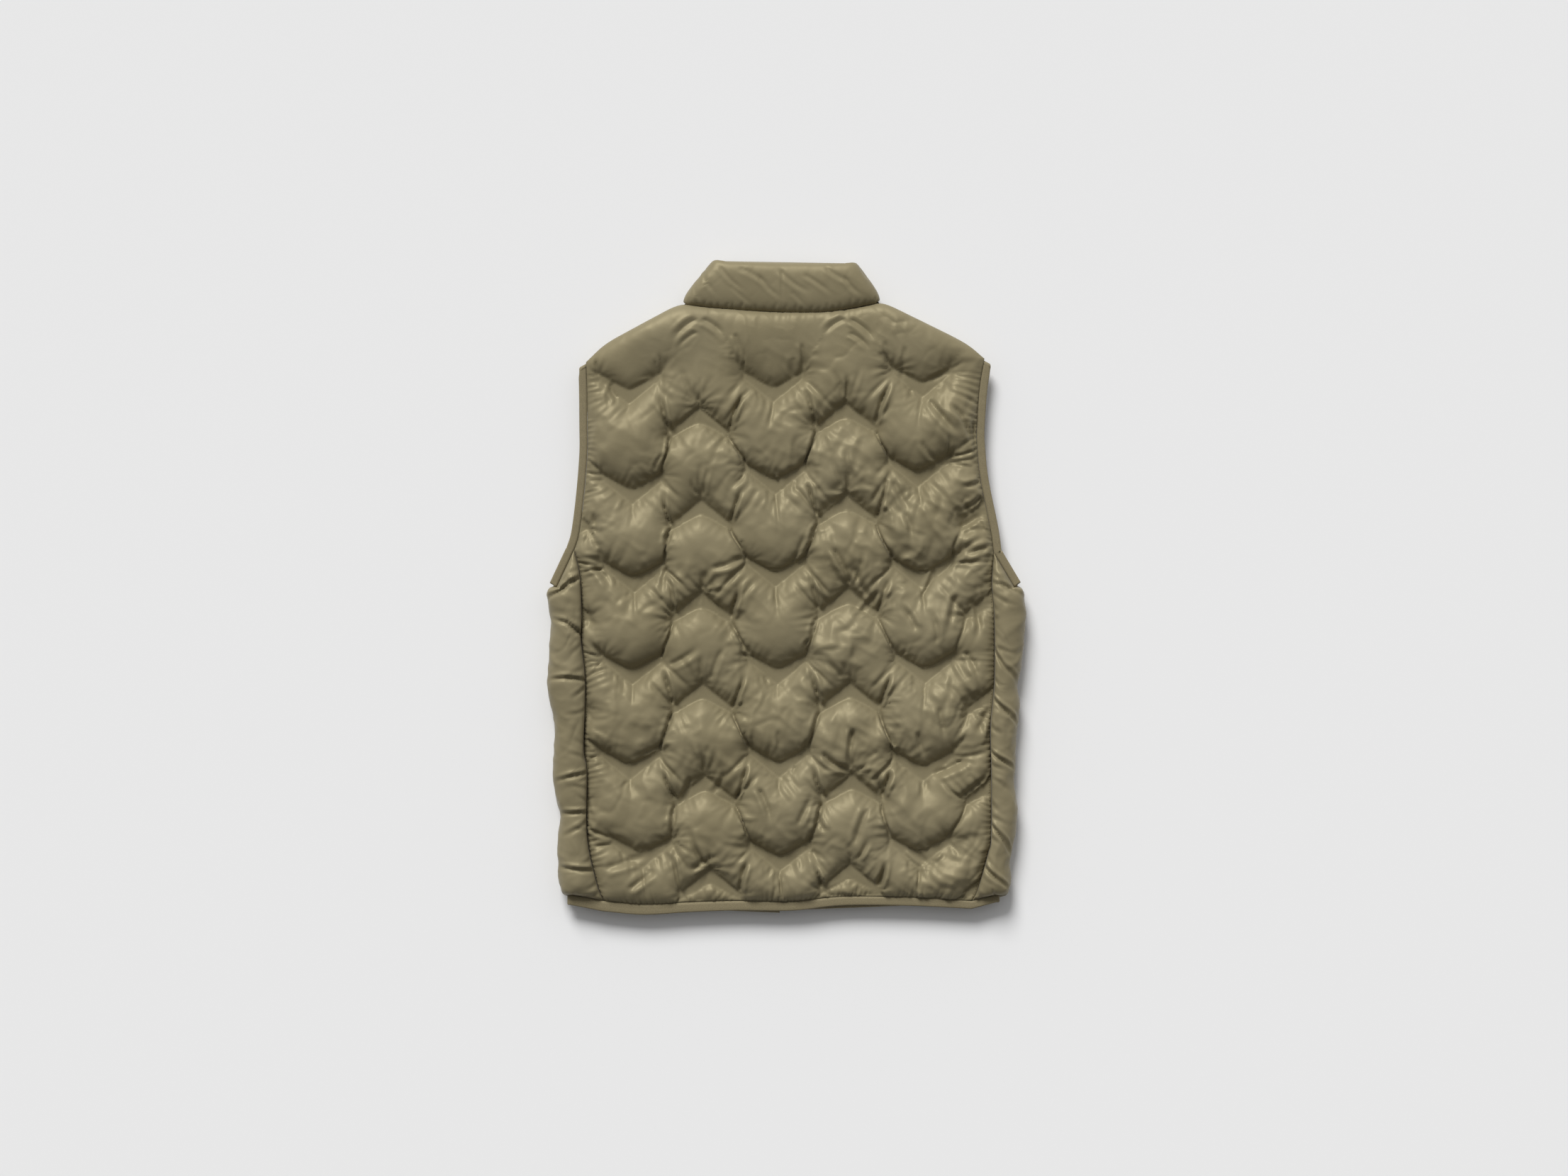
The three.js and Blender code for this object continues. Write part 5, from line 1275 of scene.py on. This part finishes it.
def make_hem_binding():
    points, ups, widths = [], [], []
    for side in OUT:
        out = OUT[side]
        fold_x = SIDE_FOLD[side][0][0] - out * (WALL + CREASE)
        low = spaced([(out * (ZIP_HALF + GAP), HEM_AT_ZIP), (fold_x, SIDE_FOLD[side][0][1])], 90)
        strip, strip_ups = wrap_path(side, 0, 14)
        line = np.vstack([level_line(low[:-1], LOW_LINING), strip[::-1]])
        up = np.vstack([np.broadcast_to(-UP, (len(low) - 1, 3)), strip_ups[::-1]])
        width = np.full(len(line), HEM_TAPE[side])
        points.append(line)
        ups.append(up)
        widths.append(width)
    back = level_line(spaced(BACK_HEM, BACK_HEM_STEPS), TOP_LINING)
    share = np.linspace(0, 1, len(back))
    back_width = np.interp(share, [0, 0.5, 1], [HEM_TAPE["left"], HEM_TAPE["middle"], HEM_TAPE["right"]])
    line = np.vstack([points[0][:-1], back, points[1][::-1][1:]])
    up = np.vstack([ups[0][:-1], np.broadcast_to(UP, back.shape), ups[1][::-1][1:]])
    width = np.concatenate([widths[0][:-1], back_width, widths[1][::-1][1:]])
    outs = np.broadcast_to((0.0, -1.0, 0.0), line.shape)
    piece, length = folded_tape("hem_tape", line, up, outs, width, False)
    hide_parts("hem_binding")


# Zip, under the vest

ZIP_BOTTOM = -366.0
TAPE_TOP = 15.8
TAPE_THICKNESS = 1.0
RIB = {"height": 0.08, "pitch": 2}
COIL_PITCH = 1.6
COIL_LOOP = (1.5, 0.55, 0.7)      # half the length, width and height of one loop
COIL_ENDS = 8


def make_zip():
    x, y = np.meshgrid(np.linspace(-ZIP_HALF, ZIP_HALF, 15),
                       np.linspace(ZIP_BOTTOM, COLLAR_TOP_AT_ZIP, 223))
    rib = RIB["height"] * np.cos(x * 2 * math.pi / RIB["pitch"])
    under = np.stack([x, y, TAPE_TOP - TAPE_THICKNESS - rib], -1)
    over = np.stack([x, y, np.full(x.shape, TAPE_TOP)], -1)
    tape = placed(grid_mesh("zip_tape_knit", under, over), COIL)
    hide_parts("zip_tape")
    places = np.arange(ZIP_BOTTOM + COIL_ENDS, COLLAR_TOP_AT_ZIP - COIL_ENDS, COIL_PITCH)
    level = TAPE_TOP - TAPE_THICKNESS - 0.75
    for side, out in OUT.items():
        shift = COIL_PITCH / 2 if out > 0 else 0.0
        centres = np.stack([0 * places + out, places + shift, 0 * places + level], 1)
        runs = np.broadcast_to((1.0, 0.0, 0.0), centres.shape)
        ups = np.broadcast_to(UP, centres.shape)
        grains(f"zip_coil_{side}", centres, runs, ups, COIL_LOOP, COIL)


# Floor, lights and camera

VIEW_WIDTH = 1782.0              # width of the picture at the vest
VIEW_CENTRE = (-2.4, -0.8)
VIEW_LEVEL = 22.0
LENS = 100.0
SENSOR = 36.0
SUN = {"strength": 3.0, "angle": 25, "way": (0.3, -1.0, -0.8)}
# Strength of the studio's light, from beyond the hem to beyond the collar
STUDIO = {"From Min": -0.6, "From Max": 0.8, "To Min": 0.1, "To Max": 0.6}


def make_stage():
    bm = bmesh.new()
    bmesh.ops.create_grid(bm, x_segments=1, y_segments=1, size=6)
    mesh = bpy.data.meshes.new("floor")
    bm.to_mesh(mesh)
    bm.free()
    floor = bpy.data.objects.new("floor", mesh)
    bpy.context.scene.collection.objects.link(floor)
    material, shader = new_material("matt_paper", Roughness=0.9)
    shader.inputs["Base Color"].default_value = linear("#f2f2f2")
    # Clear from behind and for light that comes up through it, so that the underside can be looked at.
    behind = add_node(material, "ShaderNodeNewGeometry").outputs["Backfacing"]
    to_light = add_node(material, "ShaderNodeLightPath").outputs["Is Shadow Ray"]
    is_clear = add_node(material, "ShaderNodeMath", {"operation": "MAXIMUM"})
    material.node_tree.links.new(behind, is_clear.inputs[0])
    material.node_tree.links.new(to_light, is_clear.inputs[1])
    clear = add_node(material, "ShaderNodeBsdfTransparent")
    both = add_node(material, "ShaderNodeMixShader", Fac=is_clear.outputs["Value"])
    material.node_tree.links.new(shader.outputs["BSDF"], both.inputs[1])
    material.node_tree.links.new(clear.outputs["BSDF"], both.inputs[2])
    output = material.node_tree.nodes["Material Output"]
    material.node_tree.links.new(both.outputs["Shader"], output.inputs["Surface"])
    mesh.materials.append(material)

    key = bpy.data.lights.new("key", "SUN")
    key.energy = SUN["strength"]
    key.angle = math.radians(SUN["angle"])
    key_object = bpy.data.objects.new("key", key)
    bpy.context.scene.collection.objects.link(key_object)
    key_object.rotation_euler = Vector(SUN["way"]).to_track_quat("-Z", "Y").to_euler()

    world = bpy.data.worlds.new("studio")
    bpy.context.scene.world = world
    world.use_nodes = True
    nodes, links = world.node_tree.nodes, world.node_tree.links
    way = nodes.new("ShaderNodeTexCoord")
    parts = nodes.new("ShaderNodeSeparateXYZ")
    ramp = nodes.new("ShaderNodeMapRange")
    for socket, value in STUDIO.items():
        ramp.inputs[socket].default_value = value
    links.new(way.outputs["Generated"], parts.inputs["Vector"])
    links.new(parts.outputs["Y"], ramp.inputs["Value"])
    links.new(ramp.outputs["Result"], nodes["Background"].inputs["Strength"])
    nodes["Background"].inputs["Color"].default_value = (1, 1, 1, 1)

    camera = bpy.data.cameras.new("camera")
    camera.lens = LENS
    camera.sensor_width = SENSOR
    camera_object = bpy.data.objects.new("camera", camera)
    bpy.context.scene.collection.objects.link(camera_object)
    height = VIEW_WIDTH * LENS / SENSOR + VIEW_LEVEL
    camera_object.location = Vector((VIEW_CENTRE[0], VIEW_CENTRE[1], height)) * MM
    bpy.context.scene.camera = camera_object
    bpy.context.scene.view_settings.view_transform = "Standard"


make_stage()
make_back()
for one_side in OUT:
    make_front(one_side)
    make_armhole_binding(one_side)
make_collar()
make_hem_binding()
make_zip()

for node_name in ("zip_slider", "zip_pull"):
    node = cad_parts[node_name]
    for k in range(len(node.material_slots)):
        node.material_slots[k].link = "OBJECT"
        node.material_slots[k].material = METAL
